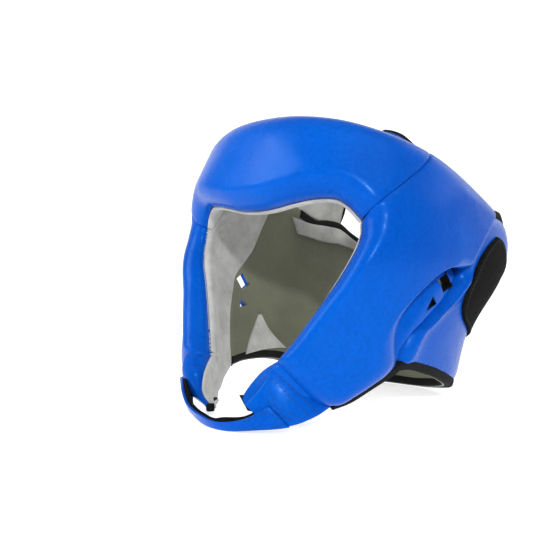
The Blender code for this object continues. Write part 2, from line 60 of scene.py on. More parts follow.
REAR = 0.0155
LOBE = 0.0045
CHIN_FLAP = 0.0055
WEBBING = 0.0022
TAPE = 0.0014
EDGE_WIDTH = 0.055      # in levels
LOBE_EDGE = 0.030       # in levels
PATCH_GAP = 0.0014
CHIN_TIP = 3.2          # in degrees
DEGREE = 0.017          # one degree along an outline, in levels

# Sizes that only the looks have, in metres where nothing else is said
FULL = 0.89             # pads where they are full, share of PAD
PAD_FULL = PAD * FULL
PAD_BASE = LINING + LAYER_GAP
THIN_BASE = LINING + SKIN_GAP
SEAM_ROUND = 0.0032     # dip of the pads beside a seam
SEAM_DIP = 0.075        # the same dip, share of the thickness
UPPER_LOW = 0.20        # pads at their upper edge, share of the thickness
UPPER_ROUND = 0.0180
UPPER_POWER = 2.1
TUCK = 0.02             # linings past the pads' upper edge, levels
TAPE_DROP = EDGE_WIDTH * 1.35       # height of the textile edges, levels
TAPE_CORNERS = 14
TAPE_POWER = 0.45
TIP_CORNERS = 12
TIP_POWER = 0.5
SAG = 0.12              # right lower corner under the ear, levels down
SAG_TURN = 5.0          # the same corner, degrees to the front
SAG_MIDDLE = 72.0       # the same corner, degrees
SAG_WIDTH = 20.0        # how far the sagging reaches, degrees
SAG_LEVELS = (0.40, 0.88)
EAR_LIFT = 0.0050       # left ear panel, out from the lining
EAR_TUCK = 2.2          # ear panels under the pads around them, degrees
VENT_LEAN = 15          # axis of the left vents, degrees to the front
# The black wall in the left vents is painted shade for the dark inside of their holes
PAINTED_SHADE_WALL = (1.12, 0.90)   # outer and inner size of a vent's black wall, share of the vent
PAINTED_SHADE_WALL_FOOT = -0.0008
CHIN_LIFT = 0.0085      # right tongue, its edge to the face, out from the skin
CHIN_TUCK = 0.0040      # right tongue, its rear corner, in from the skin
COVER_SIZE = (0.070, 0.060)         # loop patch and closing flap, about
COVER_ROUND = 0.0018
COVER_SEAM = 0.045      # their stitches from the rim, share of their size
STRAP_SIZE = (0.22, 0.016)          # chin strap, about
BAND_LIFT = WEBBING * 1.7
BASE_LIFT = WEBBING * 0.75
ANGLE_STEP = 0.5        # steps for the skin's normal, in degrees and levels
LEVEL_STEP = 0.01
OPENING_STEPS = 260
BROW_STEPS = 220
SHARP_ANGLE = 45

# Stitches: length, gap and radius of the thread in metres
EAR_STITCH = (0.0016, 0.0009, 0.00024)
PATCH_STITCH = (0.0022, 0.0010, 0.00026)
FLAP_STITCH = (0.0024, 0.0012, 0.00026)
STRAP_STITCH = (0.0022, 0.0013, 0.00028)
SEAM_STITCH = (0.0020, 0.0004, 0.00018)
STITCH_SINK = 0.00012
STITCH_CORNERS = 6
STITCH_ARCH = (
    # share along the stitch, share of its radius, height in radii
    (0.0, 0.25, -0.9),
    (0.12, 0.8, 0.0),
    (0.5, 1.0, 0.35),
    (0.88, 0.8, 0.0),
    (1.0, 0.25, -0.9),
)

# How the headgear stands: leaned back in degrees, moved in metres
RECLINE = 14.3423
STANDS_AT = (0.0, 0.000347, 0.112298)

PROFILE = (
    # level, side, front, rear, front squareness, rear squareness
    (1.00, 0.710, 0.715, 0.880, 2.4, 3.2),
    (0.85, 0.840, 0.865, 0.975, 2.4, 3.4),
    (0.60, 0.955, 0.975, 1.050, 2.4, 3.6),
    (0.35, 1.005, 1.010, 1.040, 2.6, 3.5),
    (0.10, 1.020, 1.000, 0.915, 3.1, 3.1),
    (-0.20, 1.005, 0.985, 0.840, 3.2, 2.8),
    (-0.50, 0.948, 0.950, 0.810, 2.7, 2.7),
    (-0.80, 0.888, 0.924, 0.830, 2.4, 2.7),
    (-1.00, 0.830, 0.905, 0.820, 2.4, 2.7),
    (-1.25, 0.710, 0.876, 0.780, 2.4, 2.7),
    (-1.50, 0.575, 0.838, 0.756, 2.4, 2.7),
)
PROFILE_ROWS = [row[1:] for row in PROFILE]
PROFILE_KEYS = [-row[0] for row in PROFILE]

# Outlines on the left half: angle in degrees, level
BROW = ((-44.5, 0.00), (-40, 0.07), (-36, 0.105), (-30, 0.10), (-20, 0.065), (-10, 0.03), (0, 0.02),
        (10, 0.03), (20, 0.065), (30, 0.10), (36, 0.105), (40, 0.07), (44.5, 0.00))
SEAM = ((44.5, 0.00), (48.0, 0.11), (53.5, 0.24), (60.0, 0.41), (66.0, 0.60))
BAND_TOP = ((-66, 0.60), (-47, 0.625), (-30, 0.65), (0, 0.665), (30, 0.645), (47, 0.62), (66, 0.60))
OPENING = ((24.5, -0.97), (30.0, -0.80), (34.5, -0.64), (38.5, -0.49), (42.0, -0.34),
           (44.6, -0.19), (45.4, -0.09), (45.0, 0.00), (48.0, 0.11), (53.5, 0.24), (60.0, 0.41),
           (66.0, 0.60))
SIDE_TOP = ((66.0, 0.60), (80.0, 0.58), (95.0, 0.56), (110.5, 0.53))
SIDE_REAR = ((72.0, -0.88), (67.2, -0.70), (65.2, -0.54), (66.6, -0.39), (70.2, -0.255),
             (76.2, -0.145), (84.0, -0.085), (92.0, -0.06), (95.0, 0.02), (98.5, 0.13),
             (104.0, 0.31), (110.5, 0.53))
SIDE_HEM = ((24.5, -0.97), (33.0, -1.06), (42.0, -1.14), (50.5, -1.18), (56.0, -1.12),
            (62.0, -1.025), (72.0, -0.88))
REAR_FRONT = ((72.0, -0.88), (72.8, -0.72), (74.5, -0.60), (79.0, -0.52), (84.0, -0.42), (89.0, -0.32),
              (92.3, -0.21), (94.6, -0.11), (95.6, 0.02), (98.5, 0.13), (104.0, 0.31), (110.5, 0.53))
REAR_HEM = ((72.0, -0.88), (80.0, -0.845), (90.0, -0.84), (104.0, -0.845), (118.0, -0.86),
            (140.0, -0.87), (160.0, -0.88), (180.0, -0.88))
REAR_TOP = ((110.5, 0.53), (117.0, 0.575), (123.5, 0.595), (130.0, 0.545), (143.0, 0.46),
            (160.0, 0.44), (180.0, 0.44))
LINING_SEAM = SIDE_REAR[:4] + ((69.0, -0.255), (73.0, -0.14), (77.0, -0.02), (79.4, 0.12), (81.7, 0.31),
                               (84.5, 0.575))
# Lower and upper edge of a pale band under the rear top binding: painted light where the lamp lights the
# lining
LIT_BAND_LOW = ((103.0, 0.325), (111.0, 0.345), (119.0, 0.36), (126.0, 0.39), (134.0, 0.375), (145.0, 0.31),
              (160.0, 0.29), (180.0, 0.29))
LIT_BAND_HIGH = ((96.5, 0.45), (108.0, 0.47), (117.0, 0.515), (124.0, 0.535), (131.0, 0.485), (143.0, 0.40),
               (160.0, 0.38), (180.0, 0.38))
# Front and rear edge of a pale triangle low by the neck: painted light where the lamp lights the lining
LIT_PATCH_FRONT = ((81.5, -0.80), (83.5, -0.65), (86.0, -0.515))
LIT_PATCH_REAR = ((107.0, -0.745), (95.0, -0.62), (87.5, -0.51))
LOBE_LOW_LEFT = ((48.0, 0.64), (58.0, 0.62), (68.0, 0.61), (79.0, 0.60), (88.0, 0.59))
LOBE_HIGH_LEFT = ((49.0, 0.705), (55.5, 0.72), (65.0, 0.678), (77.0, 0.640), (87.0, 0.625))
LOBE_LOW_RIGHT = ((50.0, 0.635), (66.0, 0.61), (80.0, 0.60), (95.0, 0.58), (110.5, 0.575), (118.0, 0.60),
                  (124.0, 0.615))
LOBE_HIGH_RIGHT = ((53.0, 0.75), (64.0, 0.80), (80.0, 0.84), (100.0, 0.85), (112.0, 0.84), (123.0, 0.79))
CHIN_HIGH = ((7.0, -1.205), (12.0, -1.125), (17.5, -1.035), (24.8, -0.95))
CHIN_LOW = ((14.0, -1.29), (22.0, -1.265), (31.0, -1.22), (43.0, -1.12))
CHIN_ROOT = ((43.0, -1.12), (33.5, -1.04), (24.8, -0.95))
CHIN_HIGH_RIGHT = ((19.5, -1.345), (26.0, -1.22), (29.0, -1.09), (24.8, -0.95))
CHIN_LOW_RIGHT = ((36.0, -1.305), (47.0, -1.235), (51.5, -1.16), (48.0, -1.07))
CHIN_ROOT_RIGHT = ((48.0, -1.07), (35.0, -1.02), (24.8, -0.95))
PATCH_FRONT = ((0.58, 0.32), (0.70, 0.325), (0.80, 0.36), (0.875, 0.44), (0.925, 0.53), (0.93, 0.62),
               (0.915, 0.73), (0.88, 0.82))
PATCH_REAR = ((0.43, 0.32), (0.31, 0.38), (0.27, 0.57), (0.30, 0.75), (0.40, 0.82))
FLAP_FRONT = ((0.36, 0.42), (0.41, 0.50), (0.41, 0.66), (0.36, 0.74))
FLAP_REAR = ((-0.22, 0.26), (-0.22, 0.44), (-0.22, 0.66), (-0.22, 0.84))
VENTS = (
    # side, corners, angle, level, turn in degrees, half width, half height
    (1, 4, 86.5, -0.20, 0, 0.0090, 0.0074),
    (1, 3, 81.0, -0.37, 145, 0.0046, 0.0086),
    (-1, 4, 74.2, -0.285, 0, 0.0090, 0.0092),
    (-1, 3, 74.6, -0.46, 20, 0.0060, 0.0066),
)
STRAP = (
    # angle, level, out (upper), angle, level, out (lower)
    (24.8, -0.955, 0.40, 49.6, -1.16, 0.40),
    (23.6, -1.02, 0.66, 44.0, -1.220, 0.70),
    (21.8, -1.12, 0.84, 37.0, -1.285, 0.88),
    (16.0, -1.265, 1.06, 26.0, -1.345, 1.00),
    (7.0, -1.340, 1.16, 12.0, -1.400, 1.00),
    (-3.0, -1.330, 1.20, -3.0, -1.395, 0.96),
    (-14.0, -1.285, 1.12, -15.0, -1.345, 0.90),
    (-23.0, -1.215, 1.00, -25.0, -1.295, 0.80),
    (-31.0, -1.145, 0.92, -34.0, -1.235, 0.72),
    (-40.0, -1.090, 0.94, -43.0, -1.185, 0.68),
    (-49.0, -1.070, 1.00, -52.0, -1.150, 0.66),
    (-55.0, -1.050, 1.02, -58.0, -1.115, 0.66),
)

# Creases of the cheek suede: angle and level of both ends, half width in degrees, depth in metres
CREASES = (
    (46.5, -0.02, 60.0, 0.10, 1.3, 0.0016),
    (47.5, -0.05, 62.0, -0.01, 1.2, 0.0013),
    (47.0, 0.02, 57.0, 0.19, 1.2, 0.0014),
    (47.5, -0.12, 63.0, -0.16, 1.5, 0.0011),
    (50.0, -0.20, 66.0, -0.30, 2.0, 0.0012),
    (52.0, 0.08, 66.0, 0.22, 1.8, 0.0012),
    (46.0, -0.33, 60.0, -0.46, 2.2, 0.0010),
    (58.0, -0.05, 74.0, 0.06, 2.4, 0.0014),
    (43.0, -0.55, 56.0, -0.72, 2.0, 0.0009),
    (40.0, -0.72, 50.0, -0.90, 1.8, 0.0008),
)

# Studio: the floor's half width, its level part, the sweep's radius and the wall's top
FLOOR_HALF = 3.0
FLOOR_FRONT = -2.5
FLOOR_REAR = 1.1
SWEEP = 0.8
WALL_TOP = 3.0
SKY = (0.93, 0.96, 1.0)
SKY_STRENGTH = 0.28
LAMP_TARGET = (0, 0, 0.10)
LAMPS = (
    # azimuth, elevation, distance, size, watts
    (44, 19.5, 1.50, 0.08, 11),
    (-30, 30, 1.2, 0.6, 7.5),
    (66, 50, 1.3, 0.9, 3),
    (150, 35, 1.4, 0.9, 3),
)
CAMERA_PLACE = (0.318962, -0.422666, 0.097055)
CAMERA_TURN = (91.3240, -0.9975, 36.9885)
CAMERA_AZIMUTH = 37
CAMERA_SENSOR = 36
CAMERA_LENS = 42.545
CAMERA_SHIFT = (-0.1327, -0.0236)
CAMERA_NEAR = 0.01

LEFT = 1
RIGHT = -1
SIDES = ((LEFT, "left"), (RIGHT, "right"))
STAND = Matrix.Translation(STANDS_AT) @ Matrix.Rotation(math.radians(-RECLINE), 4, "X")


def hermite(low, high, start, end, share):
    """Cubic from low to high with the slopes start and end."""
    square = share * share
    cube = square * share
    return (low * (2 * cube - 3 * square + 1) + start * (cube - 2 * square + share)
            + high * (3 * square - 2 * cube) + end * (cube - square))


def smooth_row(rows, keys, key):
    """Row at a key, cubic between the rows; each row has its key, and the keys rise."""
    last = len(rows) - 1
    index = 0
    while index < last - 1 and key > keys[index + 1]:
        index += 1
    lower = max(index - 1, 0)
    upper = min(index + 2, last)
    span = keys[index + 1] - keys[index]
    share = (key - keys[index]) / span
    values = []
    for column in range(len(rows[0])):
        low = rows[index][column]
        high = rows[index + 1][column]
        start = (high - rows[lower][column]) / (keys[index + 1] - keys[lower]) * span
        end = (rows[upper][column] - low) / (keys[upper] - keys[index]) * span
        values.append(hermite(low, high, start, end, share))
    return values


def along(points, share):
    """Point of a smooth line through points at a share of its length."""
    lengths = [0.0]
    for before, after in zip(points, points[1:]):
        step = math.hypot((after[0] - before[0]) * DEGREE, after[1] - before[1])
        lengths.append(lengths[-1] + step)
    return smooth_row(points, lengths, share * lengths[-1])


def skin_base(angle, level):
    """Point of the head-shaped skin; on the right its lower corner under the ear hangs lower."""
    if (angle + 180) % 360 < 180:
        low = bump_at(180 - (angle + 180) % 360, SAG_MIDDLE, SAG_WIDTH) * rise(-level, *SAG_LEVELS)
        level -= SAG * low
        angle += SAG_TURN * low
    side, front, rear, front_square, rear_square = smooth_row(PROFILE_ROWS, PROFILE_KEYS, -level)
    sine = math.sin(math.radians(angle))
    cosine = math.cos(math.radians(angle))
    if cosine > 0:
        reach = front * FRONT_REACH
        exponent = front_square
    else:
        reach = rear * REAR_REACH
        exponent = rear_square
    scale = (abs(sine) ** exponent + abs(cosine) ** exponent) ** (-1 / exponent)
    return Vector((side * HALF_WIDTH * sine * scale, -reach * cosine * scale, level * LEVEL))


def skin_frame(angle, level):
    """Point of the skin and its normal."""
    turn = skin_base(angle + ANGLE_STEP, level) - skin_base(angle - ANGLE_STEP, level)
    climb = skin_base(angle, level + LEVEL_STEP) - skin_base(angle, level - LEVEL_STEP)
    return skin_base(angle, level), turn.cross(climb).normalized()


def inside(edges, u, v):
    """Point of a four-sided outline: front and rear run upwards, bottom and top to the rear."""
    front, rear, bottom, top = edges
    on_front = along(front, v)
    on_rear = along(rear, v)
    on_bottom = along(bottom, u)
    on_top = along(top, u)
    corners = (front[0], rear[0], front[-1], rear[-1])
    weights = ((1 - u) * (1 - v), u * (1 - v), (1 - u) * v, u * v)
    values = []
    for axis in (0, 1):
        blend = sum(weight * corner[axis] for weight, corner in zip(weights, corners))
        values.append((1 - u) * on_front[axis] + u * on_rear[axis]
                      + (1 - v) * on_bottom[axis] + v * on_top[axis] - blend)
    return values


def shift(points, angle, level):
    """A line moved by an angle and a level."""
    return tuple((point[0] + angle, point[1] + level) for point in points)


def mirrored(points):
    """A line on the other half of the head, run backwards."""
    return tuple((-point[0], point[1]) for point in reversed(points))


def beyond(points):
    """A rear line carried on past the middle of the back to the other side."""
    return points + tuple((360 - point[0], point[1]) for point in reversed(points))[1:]


def steps(count):
    """Even shares from 0 to 1."""
    return [index / count for index in range(count + 1)]


def dense(count, roll, fine):
    """Shares from 0 to 1, close together within roll of each end."""
    start = [roll * (1 - math.cos(math.pi / 2 * index / fine)) for index in range(fine)]
    middle = [roll + (1 - 2 * roll) * index / count for index in range(count + 1)]
    return start + middle + [1 - share for share in reversed(start)]


def rise(value, low, high):
    """Smooth step from 0 at low to 1 at high."""
    share = min(max((value - low) / (high - low), 0.0), 1.0)
    return share * share * (3 - 2 * share)


def rounded(distance, width, square=2.0):
    """Quarter round from 0 at the rim to 1 at width."""
    share = min(max(distance / width, 0.0), 1.0)
    return max(0.0, 1 - (1 - share) ** square) ** (1 / square)


def bump_at(distance, middle, width):
    """Bell curve."""
    return math.exp(-((distance - middle) / width) ** 2)


def wander(point, size, seed):
    """Soft noise from -1 to 1 with features of a size in metres."""
    return noise.noise(point / size + Vector((seed, seed * 0.37, -seed)))


def grid_faces(wide, high, first=0):
    """Faces of a grid of points."""
    faces = []
    for row in range(high - 1):
        for column in range(wide - 1):
            corner = first + row * wide + column
            faces.append((corner, corner + 1, corner + 1 + wide, corner + wide))
    return faces


def shell_faces(wide, high):
    """Faces of two grids joined along their border, the second one inside out; and that border."""
    count = wide * high
    faces = grid_faces(wide, high)
    faces += [tuple(reversed(face)) for face in grid_faces(wide, high, count)]
    border = list(range(wide))
    border += [row * wide + wide - 1 for row in range(1, high)]
    border += [count - 1 - column for column in range(1, wide)]
    border += [row * wide for row in range(high - 2, 0, -1)]
    for here, after in zip(border, border[1:] + border[:1]):
        faces.append((after, here, here + count, after + count))
    return faces, border


def round_ring(middle, across, up, corners, power):
    """Ring of points in the form of a rounded rectangle with the half sides across and up."""
    points = []
    for index in range(corners):
        turn = 2 * math.pi * index / corners
        cosine = math.cos(turn)
        sine = math.sin(turn)
        points.append(middle + across * math.copysign(abs(cosine) ** power, cosine)
                      + up * math.copysign(abs(sine) ** power, sine))
    return points


def make(name, points, faces, look, places=None, covers=()):
    """Smooth mesh object standing with the headgear; places are the UV coordinates in metres."""
    mesh = bpy.data.meshes.new(name)
    mesh.from_pydata([STAND @ point for point in points], [], faces)
    mesh.polygons.foreach_set("use_smooth", [True] * len(mesh.polygons))
    if places:
        layer = mesh.uv_layers.new(name="metres")
        flat = []
        for loop in mesh.loops:
            flat.extend(places[loop.vertex_index])
        layer.data.foreach_set("uv", flat)
    mesh.materials.append(look)
    mesh.update()
    piece = bpy.data.objects.new(name, mesh)
    bpy.context.scene.collection.objects.link(piece)
    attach(piece, "root")
    if covers:
        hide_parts(*covers)
    return piece


class Patch:
    """Grid of skin points over an outline, with the distance in metres to each of its edges."""

    def __init__(self, edges, columns, rows, side=LEFT):
        self.side = side
        self.wide = len(columns)
        self.high = len(rows)
        self.shares = [(u, v) for v in rows for u in columns]
        self.places = [inside(edges, u, v) for u, v in self.shares]
        frames = [skin_frame(side * angle, level) for angle, level in self.places]
        self.bases = [frame[0] for frame in frames]
        self.normals = [frame[1] for frame in frames]
        self.across = self.lengths(1, self.wide, self.high, self.wide)
        self.up = self.lengths(self.wide, self.high, self.wide, 1)

    def lengths(self, stride, count, lines, jump):
        """Length run along each line of the grid and its whole length, by point."""
        found = [(0.0, 0.0)] * len(self.bases)
        for line in range(lines):
            run = [0.0]
            for index in range(1, count):
                here = line * jump + index * stride
                run.append(run[-1] + (self.bases[here] - self.bases[here - stride]).length)
            for index in range(count):
                found[line * jump + index * stride] = (run[index], run[-1])
        return found

    def rims(self, index):
        """Distance to the front, rear, bottom and top edge."""
        across, width = self.across[index]
        up, height = self.up[index]
        return across, width - across, up, height - up


def slab(name, look, patch, inner, outer, covers):
    """Closed form over a patch: from inner(index) to outer(index), distances out of the skin."""
    count = len(patch.bases)
    points = [patch.bases[i] + patch.normals[i] * outer(i) for i in range(count)]
    points += [patch.bases[i] + patch.normals[i] * inner(i) for i in range(count)]
    faces = shell_faces(patch.wide, patch.high)[0]
    if patch.side == RIGHT:
        faces = [tuple(reversed(face)) for face in faces]
    places = [(patch.across[i][0], patch.up[i][0]) for i in range(count)] * 2
    piece = make(name, points, faces, look, places, covers)
    return piece


def ring_faces(corners, count, first=0):
    """Faces of a row of rings of points, with both ends closed."""
    faces = []
    for number in range(count - 1):
        low = first + number * corners
        for index in range(corners):
            after = (index + 1) % corners
            faces.append((low + index, low + after, low + corners + after, low + corners + index))
    faces.append(tuple(range(first, first + corners))[::-1])
    faces.append(tuple(range(first + (count - 1) * corners, first + count * corners)))
    return faces


def tube(name, look, rings, covers):
    """Skin over a row of rings of points, with both ends closed."""
    wide = len(rings[0])
    points = [point for ring in rings for point in ring]
    places = []
    run = 0.0
    for number, ring in enumerate(rings):
        if number:
            run += (ring[0] - rings[number - 1][0]).length
        places.extend((run, index * 0.001) for index in range(wide))
    make(name, points, ring_faces(wide, len(rings)), look, places, covers)


def binding(name, look, line, drop, inner, thick, count, covers, side=LEFT, wobble=0.0004):
    """Textile tape folded over an edge: from the line over drop levels, rounded all round."""
    rings = []
    for share in steps(count):
        angle, level = along(line, share)
        middle_level = level + drop / 2
        base, normal = skin_frame(side * angle, middle_level)
        up = (skin_base(side * angle, middle_level + 0.02) - base).normalized()
        half_height = abs(drop) * LEVEL / 2
        half_thick = (thick(share) if callable(thick) else thick) / 2
        middle = base + normal * (inner + half_thick)
        middle += normal * wander(middle, 0.02, 5) * wobble
        points = round_ring(middle, normal * half_thick, up * half_height, TAPE_CORNERS, TAPE_POWER)
        rings.append(points if side == LEFT else points[::-1])
    tube(name, look, rings, covers)


def stitches(name, look, lines, sizes):
    """Rows of thread stitches; a line is a list of points with their normals."""
    length, gap, radius = sizes
    points = []
    faces = []
    for line in lines:
        run = [0.0]
        for before, after in zip(line, line[1:]):
            run.append(run[-1] + (after[0] - before[0]).length)
        count = max(int(run[-1] / (length + gap)), 1)
        pitch = run[-1] / count
        for number in range(count):
            start = at_run(line, run, number * pitch)
            end = at_run(line, run, number * pitch + pitch * length / (length + gap))
            add_stitch(points, faces, start, end, radius)
    make(name, points, faces, look)


def at_run(line, run, target):
    """Point and normal of a line at a run length."""
    index = 0
    while index < len(run) - 2 and run[index + 1] < target:
        index += 1
    span = max(run[index + 1] - run[index], 1e-9)
    share = min(max((target - run[index]) / span, 0.0), 1.0)
    return (line[index][0].lerp(line[index + 1][0], share),
            line[index][1].lerp(line[index + 1][1], share).normalized())


def add_stitch(points, faces, start, end, radius):
    """One stitch: a short thread, arched between its two holes."""
    first = len(points)
    reach = end[0] - start[0]
    if reach.length < 1e-6:
        return
    direction = reach.normalized()
    for share, thick, lift in STITCH_ARCH:
        normal = start[1].lerp(end[1], share).normalized()
        side = direction.cross(normal).normalized()
        middle = start[0] + reach * share + normal * (radius * lift - STITCH_SINK + radius * 0.5)
        for index in range(STITCH_CORNERS):
            turn = 2 * math.pi * index / STITCH_CORNERS
            points.append(middle + (normal * math.sin(turn) + side * math.cos(turn)) * radius * thick)
    faces += [face[::-1] for face in ring_faces(STITCH_CORNERS, len(STITCH_ARCH), first)]


def skin_line(points, out, side=LEFT, count=60):
    """Points and normals along a line of angles and levels, at a distance out."""
    line = []
    for share in steps(count):
        angle, level = along(points, share)
        base, normal = skin_frame(side * angle, level)
        height = out(angle, level) if callable(out) else out
        line.append((base + normal * height, normal))
    return line


# Materials

class Nodes:
    """A material's node tree, with short calls for its nodes."""

    def __init__(self, name, color, rough):
        self.material = bpy.data.materials.new(name)
        self.material.use_nodes = True
        self.tree = self.material.node_tree
        self.surface = self.tree.nodes["Principled BSDF"]
        self.surface.inputs["Base Color"].default_value = (*color, 1)
        self.surface.inputs["Roughness"].default_value = rough
        self.material.diffuse_color = (*color, 1)
        self.coordinates = self.tree.nodes.new("ShaderNodeTexCoord")

    def add(self, kind, **values):
        """A node with its properties set."""
        made = self.tree.nodes.new(kind)
        for key, value in values.items():
            setattr(made, key, value)
        return made

    def link(self, source, target):
        """Join two sockets."""
        self.tree.links.new(source, target)

    def noise(self, scale, detail=3.0, rough=0.55):
        """Noise texture's value."""
        made = self.add("ShaderNodeTexNoise")
        made.inputs["Scale"].default_value = scale
        made.inputs["Detail"].default_value = detail
        made.inputs["Roughness"].default_value = rough
        self.link(self.coordinates.outputs["Object"], made.inputs["Vector"])
        return made.outputs["Fac"]

    def cells(self, scale, smooth=0.4):
        """Voronoi cells' distance."""
        made = self.add("ShaderNodeTexVoronoi", feature="SMOOTH_F1")
        made.inputs["Scale"].default_value = scale
        made.inputs["Smoothness"].default_value = smooth
        self.link(self.coordinates.outputs["Object"], made.inputs["Vector"])
        return made.outputs["Distance"]

    def waves(self, scale, warp):
        """Bands across the length of a tape."""
        made = self.add("ShaderNodeTexWave", bands_direction="X")
        made.inputs["Scale"].default_value = scale
        made.inputs["Distortion"].default_value = warp
        self.link(self.coordinates.outputs["UV"], made.inputs["Vector"])
        return made.outputs["Fac"]

    def ramp(self, factor, *stops):
        """Colour ramp: each stop is a place and a colour or a grey."""
        made = self.add("ShaderNodeValToRGB")
        bar = made.color_ramp
        while len(bar.elements) < len(stops):
            bar.elements.new(0.5)
        for element, (place, color) in zip(bar.elements, stops):
            element.position = place
            element.color = (*color, 1) if isinstance(color, tuple) else (color, color, color, 1)
        self.link(factor, made.inputs["Fac"])
        return made.outputs["Color"]

    def product(self, first, second):
        """One colour times another."""
        made = self.add("ShaderNodeMix", data_type="RGBA", blend_type="MULTIPLY")
        made.inputs["Factor"].default_value = 1.0
        for source, target in zip((first, second), [s for s in made.inputs if s.type == "RGBA"]):
            self.link(source, target)
        return [s for s in made.outputs if s.type == "RGBA"][0]

    def bump(self, height, distance, strength=1.0, under=None):
        """Bump of a height, on top of another."""
        made = self.add("ShaderNodeBump")
        made.inputs["Distance"].default_value = distance
        made.inputs["Strength"].default_value = strength
        self.link(height, made.inputs["Height"])
        if under:
            self.link(under, made.inputs["Normal"])
        return made.outputs["Normal"]

    def finish(self, color, rough, normal, **plain):
        """Feed the surface; plain values go straight on its sockets."""
        self.link(color, self.surface.inputs["Base Color"])
        self.link(rough, self.surface.inputs["Roughness"])
        self.link(normal, self.surface.inputs["Normal"])
        for name, value in plain.items():
            self.surface.inputs[name.replace("_", " ")].default_value = value
        return self.material


def vinyl():
    """Glossy blue vinyl over foam: fine leather grain, soft dents and slight mottling."""
    nodes = Nodes("blue_vinyl", (0.001, 0.078, 0.445), 0.26)
    broad = nodes.ramp(nodes.noise(11, 2), (0.30, (0.001, 0.066, 0.400)), (0.70, (0.001, 0.090, 0.490)))
    speck = nodes.ramp(nodes.noise(420, 4), (0.35, 0.90), (0.65, 1.06))
    color = nodes.product(broad, speck)
    rough = nodes.ramp(nodes.noise(60, 4), (0.30, 0.20), (0.70, 0.33))
    dents = nodes.bump(nodes.noise(34, 2), 0.0011, 0.45)
    pores = nodes.bump(nodes.cells(950), 0.00007, 0.55, dents)
    grain = nodes.bump(nodes.noise(2600, 3), 0.00004, 0.5, pores)
    return nodes.finish(color, rough, grain, IOR=1.28, Specular_IOR_Level=0.42,
                        Specular_Tint=(0.18, 0.52, 1.0, 1.0), Coat_Weight=0.01, Coat_Roughness=0.12)


def suede():
    """Light grey suede: nap patches, fibre specks, a soft rim of light."""
    nodes = Nodes("grey_suede", (0.50, 0.50, 0.475), 0.95)
    nap = nodes.ramp(nodes.noise(55, 5, 0.65), (0.30, (0.32, 0.32, 0.305)), (0.68, (0.51, 0.51, 0.485)))
    fibre = nodes.ramp(nodes.noise(1300, 4, 0.7), (0.32, 0.74), (0.66, 1.12))
    color = nodes.product(nap, fibre)
    rough = nodes.ramp(nodes.noise(300, 3), (0.3, 0.88), (0.7, 1.0))
    soft = nodes.bump(nodes.noise(160, 4, 0.6), 0.0006, 0.5)
    fuzz = nodes.bump(nodes.noise(2300, 4, 0.75), 0.00028, 0.8, soft)
    return nodes.finish(color, rough, fuzz, Sheen_Weight=0.35, Sheen_Roughness=0.5)


def smooth_lining():
    """Smooth olive-grey lining, a little shiny."""
    nodes = Nodes("olive_lining", (0.125, 0.130, 0.088), 0.42)
    broad = nodes.ramp(nodes.noise(16, 3), (0.3, (0.118, 0.124, 0.083)), (0.7, (0.180, 0.186, 0.128)))
    speck = nodes.ramp(nodes.noise(700, 3), (0.35, 0.92), (0.65, 1.06))
    color = nodes.product(broad, speck)
    rough = nodes.ramp(nodes.noise(45, 4), (0.3, 0.36), (0.7, 0.52))
    soft = nodes.bump(nodes.noise(38, 3), 0.0016, 0.6)
    pores = nodes.bump(nodes.cells(1200), 0.00006, 0.5, soft)
    return nodes.finish(color, rough, pores)


def textile():
    """Black ribbed edging tape."""
    nodes = Nodes("black_tape", (0.014, 0.014, 0.015), 0.8)
    ribs = nodes.waves(230, 0.3)
    threads = nodes.noise(1900, 3, 0.7)
    shade = nodes.ramp(ribs, (0.1, (0.004, 0.004, 0.004)), (0.8, (0.013, 0.014, 0.014)))
    speck = nodes.ramp(threads, (0.35, 0.7), (0.68, 1.5))
    color = nodes.product(shade, speck)
    rough = nodes.ramp(threads, (0.3, 0.72), (0.7, 0.95))
    weave = nodes.bump(ribs, 0.00022, 0.7)
    fuzz = nodes.bump(threads, 0.00010, 0.6, weave)
    return nodes.finish(color, rough, fuzz, Specular_IOR_Level=0.12)


def loops():
    """Black loop pile with paler tips."""
    nodes = Nodes("black_loops", (0.016, 0.016, 0.016), 1.0)
    pile = nodes.cells(760, 0.25)
    tips = nodes.noise(1500, 5, 0.8)
    shade = nodes.ramp(pile, (0.15, (0.010, 0.011, 0.009)), (0.6, (0.003, 0.003, 0.003)))
    speck = nodes.ramp(tips, (0.50, 0.8), (0.60, 1.6), (0.72, 3.6))
    color = nodes.product(shade, speck)
    rough = nodes.ramp(tips, (0.3, 0.85), (0.7, 1.0))
    tufts = nodes.bump(pile, 0.0007, -0.9)
    fuzz = nodes.bump(tips, 0.0004, 0.9, tufts)
    return nodes.finish(color, rough, fuzz, Specular_IOR_Level=0.08)


def thread(name, dark, light):
    """Twisted sewing thread."""
    nodes = Nodes(name, light, 0.6)
    twist = nodes.noise(1800, 3)
    color = nodes.ramp(twist, (0.3, dark), (0.7, light))
    rough = nodes.ramp(twist, (0.3, 0.5), (0.7, 0.75))
    return nodes.finish(color, rough, nodes.bump(twist, 0.0001, 0.5))


def floor_look():
    """Pale studio floor."""
    nodes = Nodes("pale_floor", (0.86, 0.86, 0.86), 0.75)
    color = nodes.ramp(nodes.noise(7, 3), (0.3, 0.84), (0.7, 0.875))
    rough = nodes.ramp(nodes.noise(40, 3), (0.3, 0.70), (0.7, 0.82))
    glow = nodes.surface.inputs["Emission Color"]
    glow.default_value = (1, 1, 1, 1)
    return nodes.finish(color, rough, nodes.bump(nodes.noise(300, 3), 0.0001, 0.2), Emission_Strength=0.62)


# Padded pieces

def opening_line():
    """Points on the skin along the whole edge of the face opening."""
    left = [along(OPENING, share) for share in steps(OPENING_STEPS)]
    left = [place for place in left if place[1] < 0]
    brow = [along(BROW, share) for share in steps(BROW_STEPS)]
    places = left + brow[::-1] + [(-place[0], place[1]) for place in reversed(left)]
    return [skin_base(angle, level) for angle, level in places]


